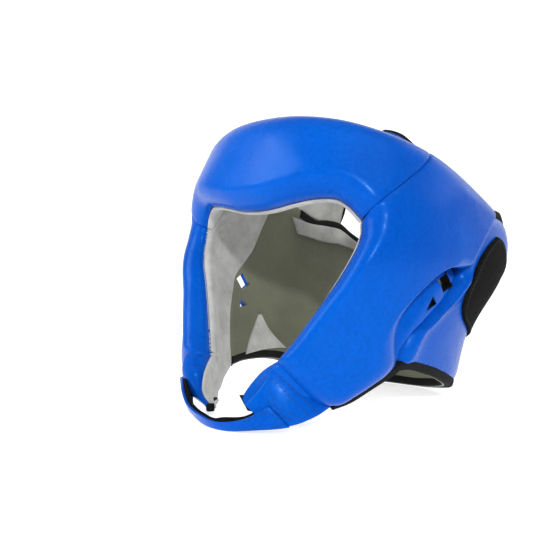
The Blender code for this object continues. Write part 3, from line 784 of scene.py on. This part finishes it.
def opening_distances(patch):
    """Distance of each point of a patch to the edge of the face opening."""
    line = opening_line()
    tree = kdtree.KDTree(len(line))
    for index, point in enumerate(line):
        tree.insert(point, index)
    tree.balance()
    found = []
    for base in patch.bases:
        near = min(max(tree.find(base)[1], 1), len(line) - 2)
        nearest = []
        for start, end in ((line[near - 1], line[near]), (line[near], line[near + 1])):
            foot, share = geometry.intersect_point_line(base, start, end)
            foot = start.lerp(end, min(max(share, 0.0), 1.0))
            nearest.append((base - foot).length)
        found.append(min(nearest))
    return found


def rolled(distance, level):
    """Thickness share by the distance to the face opening: bevelled under the brow, rolled on the cheeks."""
    under = rise(level, -0.30, 0.03)
    width = 0.0080 + 0.0045 * under
    square = 2.3 - 0.65 * under
    crease = 0.026 * bump_at(distance, 0.0102, 0.0016) * (1 - under)
    return 0.27 + 0.73 * rounded(distance, width, square) - crease


def forehead_height(patch, index, opening):
    """Thickness of the band over the brow."""
    front, rear, bottom, top = patch.rims(index)
    seams = 1 - SEAM_DIP + SEAM_DIP * rounded(min(front, rear), SEAM_ROUND)
    upper = UPPER_LOW + (1 - UPPER_LOW) * rounded(top, UPPER_ROUND, UPPER_POWER)
    crown = 0.955 + 0.045 * rounded(min(bottom, top), 0.030)
    soft = 1 + 0.010 * wander(patch.bases[index], 0.035, 3)
    return PAD_FULL * min(rolled(opening[index], patch.places[index][1]), upper) * seams * crown * soft


def forehead(looks):
    """The thick band over the brow and its suede lining."""
    left_out = tuple(reversed(mirrored(SEAM)))
    brow = (left_out[0],) + BROW[1:-1] + (SEAM[0],)
    top = (left_out[-1],) + BAND_TOP[1:-1] + (SEAM[-1],)
    edges = (left_out, SEAM, brow, top)
    patch = Patch(edges, dense(70, 0.05, 7), dense(20, 0.22, 9))
    opening = opening_distances(patch)
    slab("forehead_pad_soft", looks["vinyl"], patch, lambda i: PAD_BASE,
         lambda i: PAD_BASE + forehead_height(patch, i, opening), ["forehead_pad"])
    lining = Patch((left_out, SEAM, shift(brow, 0, -0.012), shift(top, 0, TUCK)), dense(60, 0.04, 5),
                   dense(16, 0.20, 6))

    def puff(index):
        front, rear, bottom, up = lining.rims(index)
        full = rounded(min(bottom, up), 0.008) * rounded(min(front, rear), 0.006)
        return -0.0026 * full - 0.0008 * wander(lining.bases[index], 0.012, 8) * full

    def edge(index):
        bottom = lining.rims(index)[2]
        return PAD_BASE + 0.0022 * (1 - rounded(bottom, 0.003)) * rounded(bottom, 0.0012)

    slab("forehead_lining_soft", looks["suede"], lining, puff, edge, ["forehead_lining"])


def side_height(patch, index, opening):
    """Thickness of a cheek pad: rolled along the face opening, sloped into the ear recess."""
    level = patch.places[index][1]
    front, rear, bottom, top = patch.rims(index)
    at_seam = rise(level, -0.05, 0.03)
    seam = 1 - SEAM_DIP * at_seam * (1 - rounded(front, SEAM_ROUND))
    at_ridge = rise(level, -0.11, -0.01)
    slope = 0.20 + 0.80 * rounded(rear, 0.0200, 1.55)
    ridge = 0.90 + 0.10 * rounded(rear, 0.0036)
    back = slope + (ridge - slope) * at_ridge
    hem = 0.30 + 0.70 * rounded(bottom, 0.0145, 2.0)
    upper = UPPER_LOW + (1 - UPPER_LOW) * rounded(top, UPPER_ROUND, UPPER_POWER)
    soft = 1 + 0.014 * wander(patch.bases[index], 0.030, 11)
    return PAD_FULL * min(rolled(opening[index], level), hem, upper) * seam * min(back, 1.0) * soft


def cheek(looks, side, tag):
    """Cheek pad and its suede lining."""
    rear = SIDE_REAR
    top = (OPENING[-1],) + SIDE_TOP[1:-1] + (rear[-1],)
    hem = SIDE_HEM[:3] + shift(SIDE_HEM[3:4], 0, EDGE_WIDTH * 0.7) + shift(SIDE_HEM[4:], 0, EDGE_WIDTH)
    rear = (rear[0][:1] + hem[-1][1:],) + rear[1:]
    bottom = (OPENING[0],) + hem[1:-1] + (rear[0],)
    edges = (OPENING, rear, bottom, top)
    patch = Patch(edges, dense(34, 0.24, 10), dense(64, 0.12, 8), side)
    opening = opening_distances(patch)
    slab("side_pad_soft_" + tag, looks["vinyl"], patch, lambda i: PAD_BASE,
         lambda i: PAD_BASE + side_height(patch, i, opening), ["side_pad_" + tag])
    rear = LINING_SEAM[:-1] + shift(LINING_SEAM[-1:], 0, TUCK)
    front = OPENING[:-1] + shift(OPENING[-1:], 0, TUCK)
    bottom = (front[0],) + SIDE_HEM[1:-1] + (rear[0],)
    top = (front[-1],) + shift(SIDE_TOP[1:2], 0, TUCK) + (rear[-1],)
    lining = Patch((front, rear, bottom, top), dense(44, 0.16, 6), dense(84, 0.08, 6), side)

    def puff(index):
        front, rear, bottom, up = lining.rims(index)
        full = rounded(min(front, bottom), 0.009) * rounded(min(rear, up), 0.007)
        angle, level = lining.places[index]
        folds = sum(crease(angle, level, row) for row in CREASES)
        soft = 0.0007 * wander(lining.bases[index], 0.011, 21)
        return -full * (0.0036 - 1.3 * folds + soft)

    def edge(index):
        front = lining.rims(index)[0]
        level = lining.places[index][1]
        lip = 0.0012 * (1 - rounded(front, 0.0024)) * (1 - rise(level, -0.03, 0.01))
        return PAD_BASE - 0.0003 + lip

    slab("cheek_lining_soft_" + tag, looks["suede"], lining, puff, edge,
         ["cheek_lining_" + tag])


def crease(angle, level, row):
    """Depth of one crease of the suede at a place."""
    start_angle, start_level, end_angle, end_level, width, depth = row
    reach = ((end_angle - start_angle) * DEGREE, end_level - start_level)
    here = ((angle - start_angle) * DEGREE, level - start_level)
    size = reach[0] ** 2 + reach[1] ** 2
    share = (here[0] * reach[0] + here[1] * reach[1]) / size
    fade = rise(share, -0.15, 0.15) * (1 - rise(share, 0.75, 1.15))
    aside = (here[0] * reach[1] - here[1] * reach[0]) / math.sqrt(size)
    return depth * fade * bump_at(aside, 0.0, width * DEGREE)


def vent_frame(row):
    """Middle of a vent and its turn."""
    side, _, angle, level, turn = row[:5]
    middle, outward = skin_frame(side * angle, level)
    if side == LEFT:
        outward.rotate(Matrix.Rotation(-math.radians(VENT_LEAN), 3, "Z"))
    turned = (outward.to_track_quat("Z", "Y").to_matrix()
              @ Matrix.Rotation(math.radians(side * turn), 3, "Z"))
    return middle, turned


def vent_painted_shade(name, look, row):
    """Black wall of a vent, set into the ear panel: painted shade, a dark sheet standing for the shadow
    inside the hole.
    """
    side, corners, angle, level = row[:4]
    wide, high = row[5:]
    middle, turned = vent_frame(row)
    top = PANEL + ear_lift(side, angle, level)
    points = []
    wall, hole = PAINTED_SHADE_WALL
    for share, height in ((wall, PAINTED_SHADE_WALL_FOOT), (wall, top), (hole, top), (hole, PAINTED_SHADE_WALL_FOOT)):
        for corner in range(corners):
            turn = 2 * math.pi * corner / corners
            place = Vector((-math.sin(turn) * wide * share, math.cos(turn) * high * share, height))
            points.append(middle + turned @ place)
    faces = []
    for ring in range(4):
        low = ring * corners
        above = (ring + 1) % 4 * corners
        for corner in range(corners):
            after = (corner + 1) % corners
            faces.append((above + corner, above + after, low + after, low + corner))
    sleeve = make(name, points, faces, look)
    sleeve.data.polygons.foreach_set("use_smooth", [False] * len(faces))


def cut_vents(pieces, side):
    """Cut the vents of one side through the ear panel and the lining."""
    for piece, share in pieces:
        cutters = []
        for row in VENTS:
            if row[0] != side:
                continue
            middle, turned = vent_frame(row)
            bpy.ops.mesh.primitive_cylinder_add(vertices=row[1], radius=1, depth=REAR * 2)
            cutter = bpy.context.object
            size = Matrix.Diagonal((row[5] * share, row[6] * share, 1, 1))
            cutter.matrix_world = STAND @ Matrix.Translation(middle) @ turned.to_4x4() @ size
            cutters.append(cutter)
            cut = piece.modifiers.new("vent", "BOOLEAN")
            cut.operation = "DIFFERENCE"
            cut.solver = "EXACT"
            cut.object = cutter
        bpy.context.view_layer.update()
        graph = bpy.context.evaluated_depsgraph_get()
        mesh = bpy.data.meshes.new_from_object(piece.evaluated_get(graph), depsgraph=graph)
        piece.modifiers.clear()
        piece.data = mesh
        mesh.set_sharp_from_angle(angle=math.radians(SHARP_ANGLE))
        for cutter in cutters:
            bpy.data.objects.remove(cutter)


def angle_at(line, level):
    """Angle of a rising line at a level."""
    for low, high in zip(line, line[1:]):
        if level <= high[1]:
            break
    share = min(max((level - low[1]) / (high[1] - low[1]), 0.0), 1.0)
    return low[0] + (high[0] - low[0]) * share


def ear_lift(side, angle, level):
    """How far an ear panel stands out from the lining: the left one rises to its rear."""
    if side == RIGHT:
        return 0.0
    front = angle_at(SIDE_REAR, level)
    rear = angle_at(REAR_FRONT, level)
    share = (angle - front) / max(rear - front, 1.0)
    across = rise(share, 0.0, 0.60) * (1 - 0.6 * rise(share, 0.78, 1.0))
    upright = rise(level, -0.78, -0.58) * (1 - rise(level, -0.16, -0.07))
    return EAR_LIFT * across * upright


def ear(looks, side, tag, lining):
    """Thin ear panel, tucked under the pads around it, with its vents."""
    front = shift(SIDE_REAR[:8], -EAR_TUCK, 0)
    rear = shift(REAR_FRONT[:8], EAR_TUCK, 0)
    edges = (front, rear, (front[0], rear[0]), (front[-1], rear[-1]))
    patch = Patch(edges, dense(14, 0.2, 4), dense(26, 0.1, 4), side)

    def outer(index):
        lift = ear_lift(side, *patch.places[index])
        return LINING + lift + PANEL * (0.65 + 0.35 * rounded(min(patch.rims(index)[:2]), 0.008))

    def inner(index):
        return LINING * 0.6 + 0.7 * ear_lift(side, *patch.places[index])

    def on_panel(angle, level):
        return LINING + PANEL + ear_lift(side, angle, level)

    panel = slab("ear_panel_soft_" + tag, looks["vinyl"], patch, inner, outer,
                 ["ear_panel_" + tag])
    cut_vents(((panel, 1.0), (lining, 0.95)), side)
    # Only the left vents get a black wall: painted shade where their holes are dark inside
    for number, row in enumerate(VENTS):
        if row[0] == side == LEFT:
            vent_painted_shade("vent_sleeve_%d" % number, looks["textile"], row)
    arc = ((73.5, -0.285), (77.5, -0.20), (83.5, -0.135), (89.5, -0.12), (92.3, -0.15))
    stitches("ear_stitches_" + tag, looks["dark_thread"], [skin_line(arc, on_panel, side, 30)], EAR_STITCH)


def rear_body(level, front):
    """Thickness share of a rear panel by its level and the distance to the ear recess."""
    body = 0.42 + 0.58 * rise(level, -0.42, 0.14)
    below = 1 - rise(level, -0.16, -0.02)
    gather = 0.05 * math.sin(level * 210) * bump_at(level, -0.62, 0.16) * bump_at(front, 0.004, 0.004)
    roll = 0.26 * bump_at(front, 0.0085, 0.0060) * (1 - 0.4 * rise(level, -0.55, -0.80)) + gather
    rim_low = 0.16 + 0.84 * rounded(front, 0.0095, 1.8)
    rim_high = 0.72 + 0.28 * rounded(front, 0.0040)
    return (body + roll * below) * (rim_low * below + rim_high * (1 - below))


def rear_height(patch, index):
    """Thickness of a rear panel: padded wing, thin neck, a roll along the ear recess."""
    level = patch.places[index][1]
    front, rear, bottom, top = patch.rims(index)
    hem = 0.55 + 0.45 * rounded(bottom, 0.010)
    upper_rim = 0.30 + 0.70 * rounded(top, 0.020, 1.8)
    middle = 0.90 + 0.10 * rounded(rear, 0.004)
    soft = 1 + 0.016 * wander(patch.bases[index], 0.028, 17)
    return REAR * rear_body(level, front) * min(hem, upper_rim) * middle * soft


def rear_edges():
    """Outline of the left rear panel."""
    hem = shift(REAR_HEM, 0, EDGE_WIDTH * 0.9)
    top = shift(REAR_TOP, 0, -EDGE_WIDTH * 0.9)
    front = REAR_FRONT
    front = ((hem[0][0] + 1.0, hem[0][1]),) + front[1:-1] + ((front[-1][0], top[0][1]),)
    back = ((180.0, hem[-1][1]), (180.0, -0.12), (180.0, top[-1][1]))
    bottom = (front[0],) + hem[1:-1] + (back[0],)
    top = (front[-1],) + top[1:-1] + (back[-1],)
    return front, back, bottom, top


def rear(looks, side, tag):
    """Rear panel from the ear recess to the middle of the back."""
    patch = Patch(rear_edges(), dense(50, 0.16, 10), dense(40, 0.12, 7), side)
    slab("rear_panel_soft_" + tag, looks["vinyl"], patch, lambda i: THIN_BASE,
         lambda i: THIN_BASE + rear_height(patch, i), ["rear_panel_" + tag])


def on_rear(across, up):
    """Base, normal and height over the rear panels: across from -1 on the right to 1 on the left."""
    side = LEFT if across >= 0 else RIGHT
    u = 1 - abs(across)
    edges = rear_edges()
    angle, level = inside(edges, u, up)
    base, normal = skin_frame(side * angle, level)
    ahead_angle, ahead_level = along(edges[0], up)
    front = (base - skin_base(side * ahead_angle, ahead_level)).length
    return base, normal, THIN_BASE + REAR * rear_body(level, front)


def rear_cover(name, look, outline, grid, lift, thick, covers):
    """Soft plate on the rear panels with a rounded rim; returns the line of its stitches."""
    front, back = outline
    edges = (front, back, (front[0], back[0]), (front[-1], back[-1]))
    columns, rows = grid
    points = []
    inner = []
    places = []
    seam = {}
    wide = len(columns)
    high = len(rows)
    for row, v in enumerate(rows):
        for column, u in enumerate(columns):
            base, normal, height = on_rear(*inside(edges, u, v))
            full = (rounded(min(u, 1 - u) * COVER_SIZE[0], COVER_ROUND)
                    * rounded(min(v, 1 - v) * COVER_SIZE[1], COVER_ROUND))
            points.append(base + normal * (height + lift + thick * (0.35 + 0.65 * full)))
            inner.append(base + normal * (height + lift - 0.0002))
            places.append((u * COVER_SIZE[0], v * COVER_SIZE[1]))
            if column in (0, wide - 1) or row in (0, high - 1):
                inset = [min(max(share, COVER_SEAM), 1 - COVER_SEAM) for share in (u, v)]
                base, normal, height = on_rear(*inside(edges, *inset))
                seam[row * wide + column] = (base + normal * (height + lift + thick), normal)
    faces, border = shell_faces(wide, high)
    make(name, points + inner, faces, look, places * 2, covers)
    return [seam[index] for index in border + border[:1]]


def rear_lining(looks):
    """Olive lining of the rear and the ear recesses, from one cheek's suede to the other's."""
    front = LINING_SEAM
    rear_side = tuple((360 - point[0], point[1]) for point in front)
    bottom = (front[0],) + beyond(REAR_HEM)[1:-1] + (rear_side[0],)
    upper = (front[-1],) + beyond(SIDE_TOP[2:3] + REAR_TOP) + (rear_side[-1],)
    patch = Patch((front, rear_side, bottom, upper), steps(120), steps(40))

    def puff(index):
        ahead, behind, low, high = patch.rims(index)
        full = rounded(min(ahead, behind, low, high), 0.010)
        return -full * (0.0012 + 0.0008 * wander(patch.bases[index], 0.022, 31))

    return slab("rear_lining_soft", looks["smooth_lining"], patch, puff,
                lambda i: LINING, ["rear_lining"])


def painted_light_piece(name, looks, edges, grid, side=LEFT):
    """Grey suede piece on the olive lining: painted light, a pale patch where the lamp lights the lining."""
    patch = Patch(edges, *grid, side)

    def puff(index):
        return -0.0022 - 0.0014 * rounded(min(patch.rims(index)), 0.0022)

    slab(name, looks["suede"], patch, puff, lambda i: -0.0006, [])


def painted_light_pieces(looks):
    """Pale grey suede pieces inside the rear, painted light where the lamp lights the lining: a band under
    the top binding, and a small triangle on each side of the neck.
    """
    front = (LIT_BAND_LOW[0], LIT_BAND_HIGH[0])
    rear_side = tuple((360 - angle, level) for angle, level in front)
    edges = (front, rear_side, beyond(LIT_BAND_LOW), beyond(LIT_BAND_HIGH))
    # pale band under the top binding: painted light
    painted_light_piece("rear_painted_light_piece", looks, edges, (dense(120, 0.02, 4), dense(8, 0.15, 4)))
    # pale triangle on each side of the neck: painted light
    bottom = (LIT_PATCH_FRONT[0], LIT_PATCH_REAR[0])
    tip = (LIT_PATCH_FRONT[-1], LIT_PATCH_REAR[-1])
    edges = (LIT_PATCH_FRONT, LIT_PATCH_REAR, bottom, tip)
    for side, tag in SIDES:
        painted_light_piece("neck_painted_light_" + tag, looks, edges, (dense(14, 0.1, 4), dense(14, 0.1, 4)), side)


def rear_trim(looks):
    """Textile edges, loop patch and closing flap of the rear."""
    def thick(share):
        return REAR * (0.22 + 0.74 * rise(min(share, 1 - share), 0.035, 0.080))

    binding("rear_hem_tape", looks["textile"], beyond(REAR_HEM), TAPE_DROP, -0.0016, REAR * 0.62,
            150, ["rear_hem"])
    binding("rear_top_tape", looks["textile"], beyond(((101.0, 0.55),) + REAR_TOP), -TAPE_DROP,
            -0.0020, thick, 150, ["rear_top_binding"])
    grid = (dense(18, 0.12, 5), dense(18, 0.12, 5))
    line = rear_cover("loop_patch_pile", looks["loops"], (PATCH_FRONT, PATCH_REAR), grid,
                      PATCH_GAP * 0.3, TAPE * 1.5, ["loop_patch"])
    stitches("loop_patch_stitches", looks["black_thread"], [line], PATCH_STITCH)
    grid = (dense(26, 0.10, 5), dense(14, 0.12, 5))
    line = rear_cover("closure_flap_soft", looks["vinyl"], (FLAP_FRONT, FLAP_REAR), grid,
                      TAPE + PATCH_GAP, WEBBING, ["closure_flap"])
    stitches("closure_flap_stitches", looks["dark_thread"], [line], FLAP_STITCH)


def crown_lobe(looks, side, tag):
    """Lobe over the side of the open crown: vinyl outside, suede inside, a wavy textile edge."""
    low, top = (LOBE_LOW_LEFT, LOBE_HIGH_LEFT) if side == LEFT else (LOBE_LOW_RIGHT, LOBE_HIGH_RIGHT)
    high = shift(top, 0, -LOBE_EDGE * 0.5)
    low = shift(low, 0, -0.04)
    edges = ((low[0], high[0]), (low[-1], high[-1]), low, high)
    patch = Patch(edges, dense(30, 0.1, 4), dense(10, 0.2, 4), side)

    def outer(index):
        rim = min(patch.rims(index))
        return THIN_BASE + LOBE * (0.55 + 0.45 * rounded(rim, 0.006))

    def inner(index):
        rim = min(patch.rims(index))
        return LINING * 0.9 - 0.0010 * rounded(rim, 0.006) * (1 + wander(patch.bases[index], 0.012, 6))

    slab("crown_flap_soft_" + tag, looks["vinyl"], patch, lambda i: LINING, outer,
         ["crown_flap_" + tag])
    slab("crown_flap_lining_" + tag, looks["suede"], patch, inner, lambda i: LINING - 0.0001, [])
    line = (low[0],) + top + (low[-1],)
    binding("crown_tape_" + tag, looks["textile"], line, -LOBE_EDGE * 1.4, LINING * 0.3, LOBE * 1.35,
            110, ["crown_binding_" + tag], side, 0.0018)


def chin_flap(looks, side, tag):
    """Thin end of the cheek pad, with a textile edge across its tip; the right one hangs down."""
    high, low, root = (CHIN_HIGH, CHIN_LOW, CHIN_ROOT)
    back = (CHIN_TIP, 0)
    if side == RIGHT:
        high, low, root = (CHIN_HIGH_RIGHT, CHIN_LOW_RIGHT, CHIN_ROOT_RIGHT)
        back = (0, CHIN_TIP * DEGREE)
    tip = (low[0], high[0])
    front = shift(tip, back[0] * 0.4, back[1] * 0.4)
    edges = (front, root, (front[0],) + low[1:], (front[1],) + high[1:])
    patch = Patch(edges, dense(20, 0.1, 4), dense(8, 0.3, 6), side)

    def lift(u, v):
        if side == LEFT:
            return 0.0
        return CHIN_LIFT * v * rise(u, -0.2, 0.45) * (1 - u * u) - CHIN_TUCK * (1 - v) * (1 - u) ** 2

    def middle_layer(index):
        return LINING + lift(*patch.shares[index])

    def outer(index):
        rear_rim, bottom, top = patch.rims(index)[1:]
        roll, swell, reach = (0.005, 1.3, 0.024) if side == LEFT else (0.009, 2.3, 0.040)
        full = rounded(min(bottom, top), roll)
        thick = (0.30 + 0.70 * full) * (1 + swell * rise(rear_rim, reach, 0.0))
        return middle_layer(index) + SKIN_GAP + CHIN_FLAP * thick

    def lining(index):
        return middle_layer(index) - LINING - 0.0018 * rounded(min(patch.rims(index)), 0.005)

    slab("chin_flap_soft_" + tag, looks["vinyl"], patch, middle_layer, outer,
         ["chin_flap_" + tag])
    slab("chin_flap_lining_" + tag, looks["suede"], patch, lining, middle_layer, [])
    rings = []
    for share in steps(16):
        angle, level = along(shift(tip, back[0] * 0.45, back[1] * 0.45), share)
        base, normal = skin_frame(side * angle, level)
        inward = (side * (angle + 1), level) if side == LEFT else (side * angle, level + 0.02)
        aside = (skin_base(*inward) - base).normalized()
        middle = base + normal * (LINING + lift(0, share) + CHIN_FLAP * 0.40)
        points = round_ring(middle, normal * CHIN_FLAP * 0.56, aside * CHIN_TIP * 0.00078,
                            TIP_CORNERS, TIP_POWER)
        rings.append(points if side == RIGHT else points[::-1])
    tube("chin_flap_tape_" + tag, looks["textile"], rings, ["chin_flap_edge_" + tag])


def strap_point(share, cross, lift=0.0):
    """Point and normal of the chin strap: share along it, cross from its lower to its upper edge."""
    row = along(STRAP, share)
    angle, level, out = (low + (high - low) * cross for low, high in zip(row[3:], row[:3]))
    base, normal = skin_frame(angle, level)
    return base + normal * (out * PAD + lift), normal


def ribbon(name, look, shares, crosses, low, high, covers=(), reach=None):
    """Closed flat band along the strap, between two lifts; reach(share) stretches it past the upper edge."""
    points = []
    places = []
    for lift in (high, low):
        for share in shares:
            for cross in crosses:
                rim = min(cross - crosses[0], crosses[-1] - cross)
                soft = lift if lift == low else low + (lift - low) * (0.4 + 0.6 * rounded(rim, 0.05))
                stretch = reach(share) if reach else 1.0
                points.append(strap_point(share, cross * stretch, soft)[0])
                places.append((share * STRAP_SIZE[0], cross * STRAP_SIZE[1]))
    faces = shell_faces(len(crosses), len(shares))[0]
    make(name, points, faces, look, places, covers)


def strap_line(places, lift):
    """Line over the strap through places given as share and cross."""
    line = []
    for start, end in zip(places, places[1:]):
        for step in steps(12):
            share = start[0] + (end[0] - start[0]) * step
            cross = start[1] + (end[1] - start[1]) * step
            line.append(strap_point(share, cross, lift))
    return line


def band_reach(share):
    """Width of the strap as a share of its full width: narrower where it is sewn to its base."""
    return 1 - 0.40 * (1 - rise(share, 0.22, 0.42))


def chin_strap(looks):
    """Sewn base on the left cheek, the strap across the chin and the hook tape on its inner side."""
    cross = dense(8, 0.08, 3)
    ribbon("strap_base", looks["vinyl"], [-0.018 + 0.20 * share for share in steps(28)], cross,
           -0.0006, BASE_LIFT)
    ribbon("chin_strap_band", looks["vinyl"], [0.120 + 0.880 * share for share in steps(90)],
           cross, WEBBING * 0.7, BAND_LIFT, ["chin_strap"], band_reach)
    ribbon("hook_tape", looks["loops"], [0.175 + 0.820 * share for share in steps(80)],
           [0.03 + 0.97 * share for share in steps(8)], -TAPE, WEBBING * 0.68, ["strap_tape"],
           lambda share: band_reach(share) * (1.12 + 0.34 * bump_at(share, 0.29, 0.05)))
    rows = [
        strap_line(((0.030, 0.04), (0.030, 0.96)), BASE_LIFT),
        strap_line(((0.052, 0.04), (0.052, 0.96)), BASE_LIFT),
        strap_line(((0.075, 0.10), (0.110, 0.50), (0.075, 0.90)), BASE_LIFT),
        strap_line(((0.098, 0.14), (0.133, 0.50), (0.098, 0.86)), BASE_LIFT),
        strap_line(((0.134, 0.07), (0.134, 0.50)), BAND_LIFT),
        strap_line(((0.140, 0.08), (0.27, 0.08)), BAND_LIFT),
        strap_line(((0.140, 0.50), (0.24, 0.54)), BAND_LIFT),
    ]
    stitches("strap_stitches", looks["dark_thread"], rows, STRAP_STITCH)


def trimmed(points, start, end):
    """Part of a smooth line between two shares of its length."""
    return [along(points, start + (end - start) * share) for share in steps(12)]


def seam_threads(looks):
    """Thin light thread in the seams between the pads, where the pads are full."""
    height = PAD_BASE + PAD_FULL * 0.905
    rows = [skin_line(trimmed(SEAM, 0.20, 0.74), height, side) for side in (LEFT, RIGHT)]
    height = PAD_BASE + PAD_FULL * 0.88
    rows += [skin_line(trimmed(SIDE_REAR[8:], 0.06, 0.60), height, side) for side in (LEFT, RIGHT)]
    stitches("seam_threads", looks["pale_thread"], rows, SEAM_STITCH)


def studio(looks):
    """Pale floor and wall in one sweep, soft lights, world and camera."""
    profile = [(FLOOR_FRONT, 0.0), (FLOOR_REAR, 0.0)]
    for degrees in range(10, 91, 10):
        turn = math.radians(degrees)
        profile.append((FLOOR_REAR + SWEEP * math.sin(turn), SWEEP - SWEEP * math.cos(turn)))
    profile.append((FLOOR_REAR + SWEEP, WALL_TOP))
    points = [Vector((x, y, z)) for x in (-FLOOR_HALF, FLOOR_HALF) for y, z in profile]
    count = len(profile)
    faces = [(i + count, i + count + 1, i + 1, i) for i in range(count - 1)]
    mesh = bpy.data.meshes.new("studio_floor")
    turn = Matrix.Rotation(math.radians(CAMERA_AZIMUTH), 4, "Z")
    mesh.from_pydata([turn @ point for point in points], [], faces)
    mesh.polygons.foreach_set("use_smooth", [True] * len(mesh.polygons))
    mesh.materials.append(looks["floor"])
    floor = bpy.data.objects.new("studio_floor", mesh)
    bpy.context.scene.collection.objects.link(floor)
    world = bpy.data.worlds.new("studio")
    bpy.context.scene.world = world
    world.use_nodes = True
    sky = world.node_tree.nodes["Background"]
    sky.inputs["Color"].default_value = (*SKY, 1)
    sky.inputs["Strength"].default_value = SKY_STRENGTH
    for number, (azimuth, elevation, distance, size, watts) in enumerate(LAMPS):
        light = bpy.data.lights.new("lamp_%d" % number, "AREA")
        light.energy = watts
        light.size = size
        lamp = bpy.data.objects.new("lamp_%d" % number, light)
        bpy.context.scene.collection.objects.link(lamp)
        around = math.radians(azimuth)
        above = math.radians(elevation)
        level = math.cos(above)
        back = Vector((math.sin(around) * level, -math.cos(around) * level, math.sin(above)))
        lamp.location = Vector(LAMP_TARGET) + back * distance
        lamp.rotation_mode = "QUATERNION"
        lamp.rotation_quaternion = back.to_track_quat("Z", "Y")
    view = bpy.context.scene.view_settings
    view.view_transform = "Standard"
    view.look = "None"
    data = bpy.data.cameras.new("camera")
    data.sensor_width = CAMERA_SENSOR
    data.lens = CAMERA_LENS
    data.shift_x, data.shift_y = CAMERA_SHIFT
    data.clip_start = CAMERA_NEAR
    camera = bpy.data.objects.new("camera", data)
    camera.location = CAMERA_PLACE
    camera.rotation_euler = [math.radians(degrees) for degrees in CAMERA_TURN]
    bpy.context.scene.collection.objects.link(camera)
    bpy.context.scene.camera = camera


def main():
    """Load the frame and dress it."""
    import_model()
    looks = {
        "vinyl": vinyl(),
        "suede": suede(),
        "smooth_lining": smooth_lining(),
        "textile": textile(),
        "loops": loops(),
        "dark_thread": thread("dark_blue_thread", (0.003, 0.02, 0.15), (0.006, 0.04, 0.26)),
        "pale_thread": thread("pale_blue_thread", (0.16, 0.30, 0.62), (0.30, 0.46, 0.80)),
        "black_thread": thread("black_thread", (0.010, 0.010, 0.010), (0.03, 0.03, 0.03)),
        "floor": floor_look(),
    }
    studio(looks)
    forehead(looks)
    lining = rear_lining(looks)
    for side, tag in SIDES:
        cheek(looks, side, tag)
        ear(looks, side, tag, lining)
        rear(looks, side, tag)
        crown_lobe(looks, side, tag)
        chin_flap(looks, side, tag)
        binding("cheek_hem_tape_" + tag, looks["textile"], SIDE_HEM[3:], TAPE_DROP, -0.0010,
                PAD * 0.60, 60, ["cheek_hem_" + tag], side)
    # Pale pieces inside the rear: painted light
    painted_light_pieces(looks)
    rear_trim(looks)
    chin_strap(looks)
    seam_threads(looks)
    bpy.context.view_layer.update()


main()
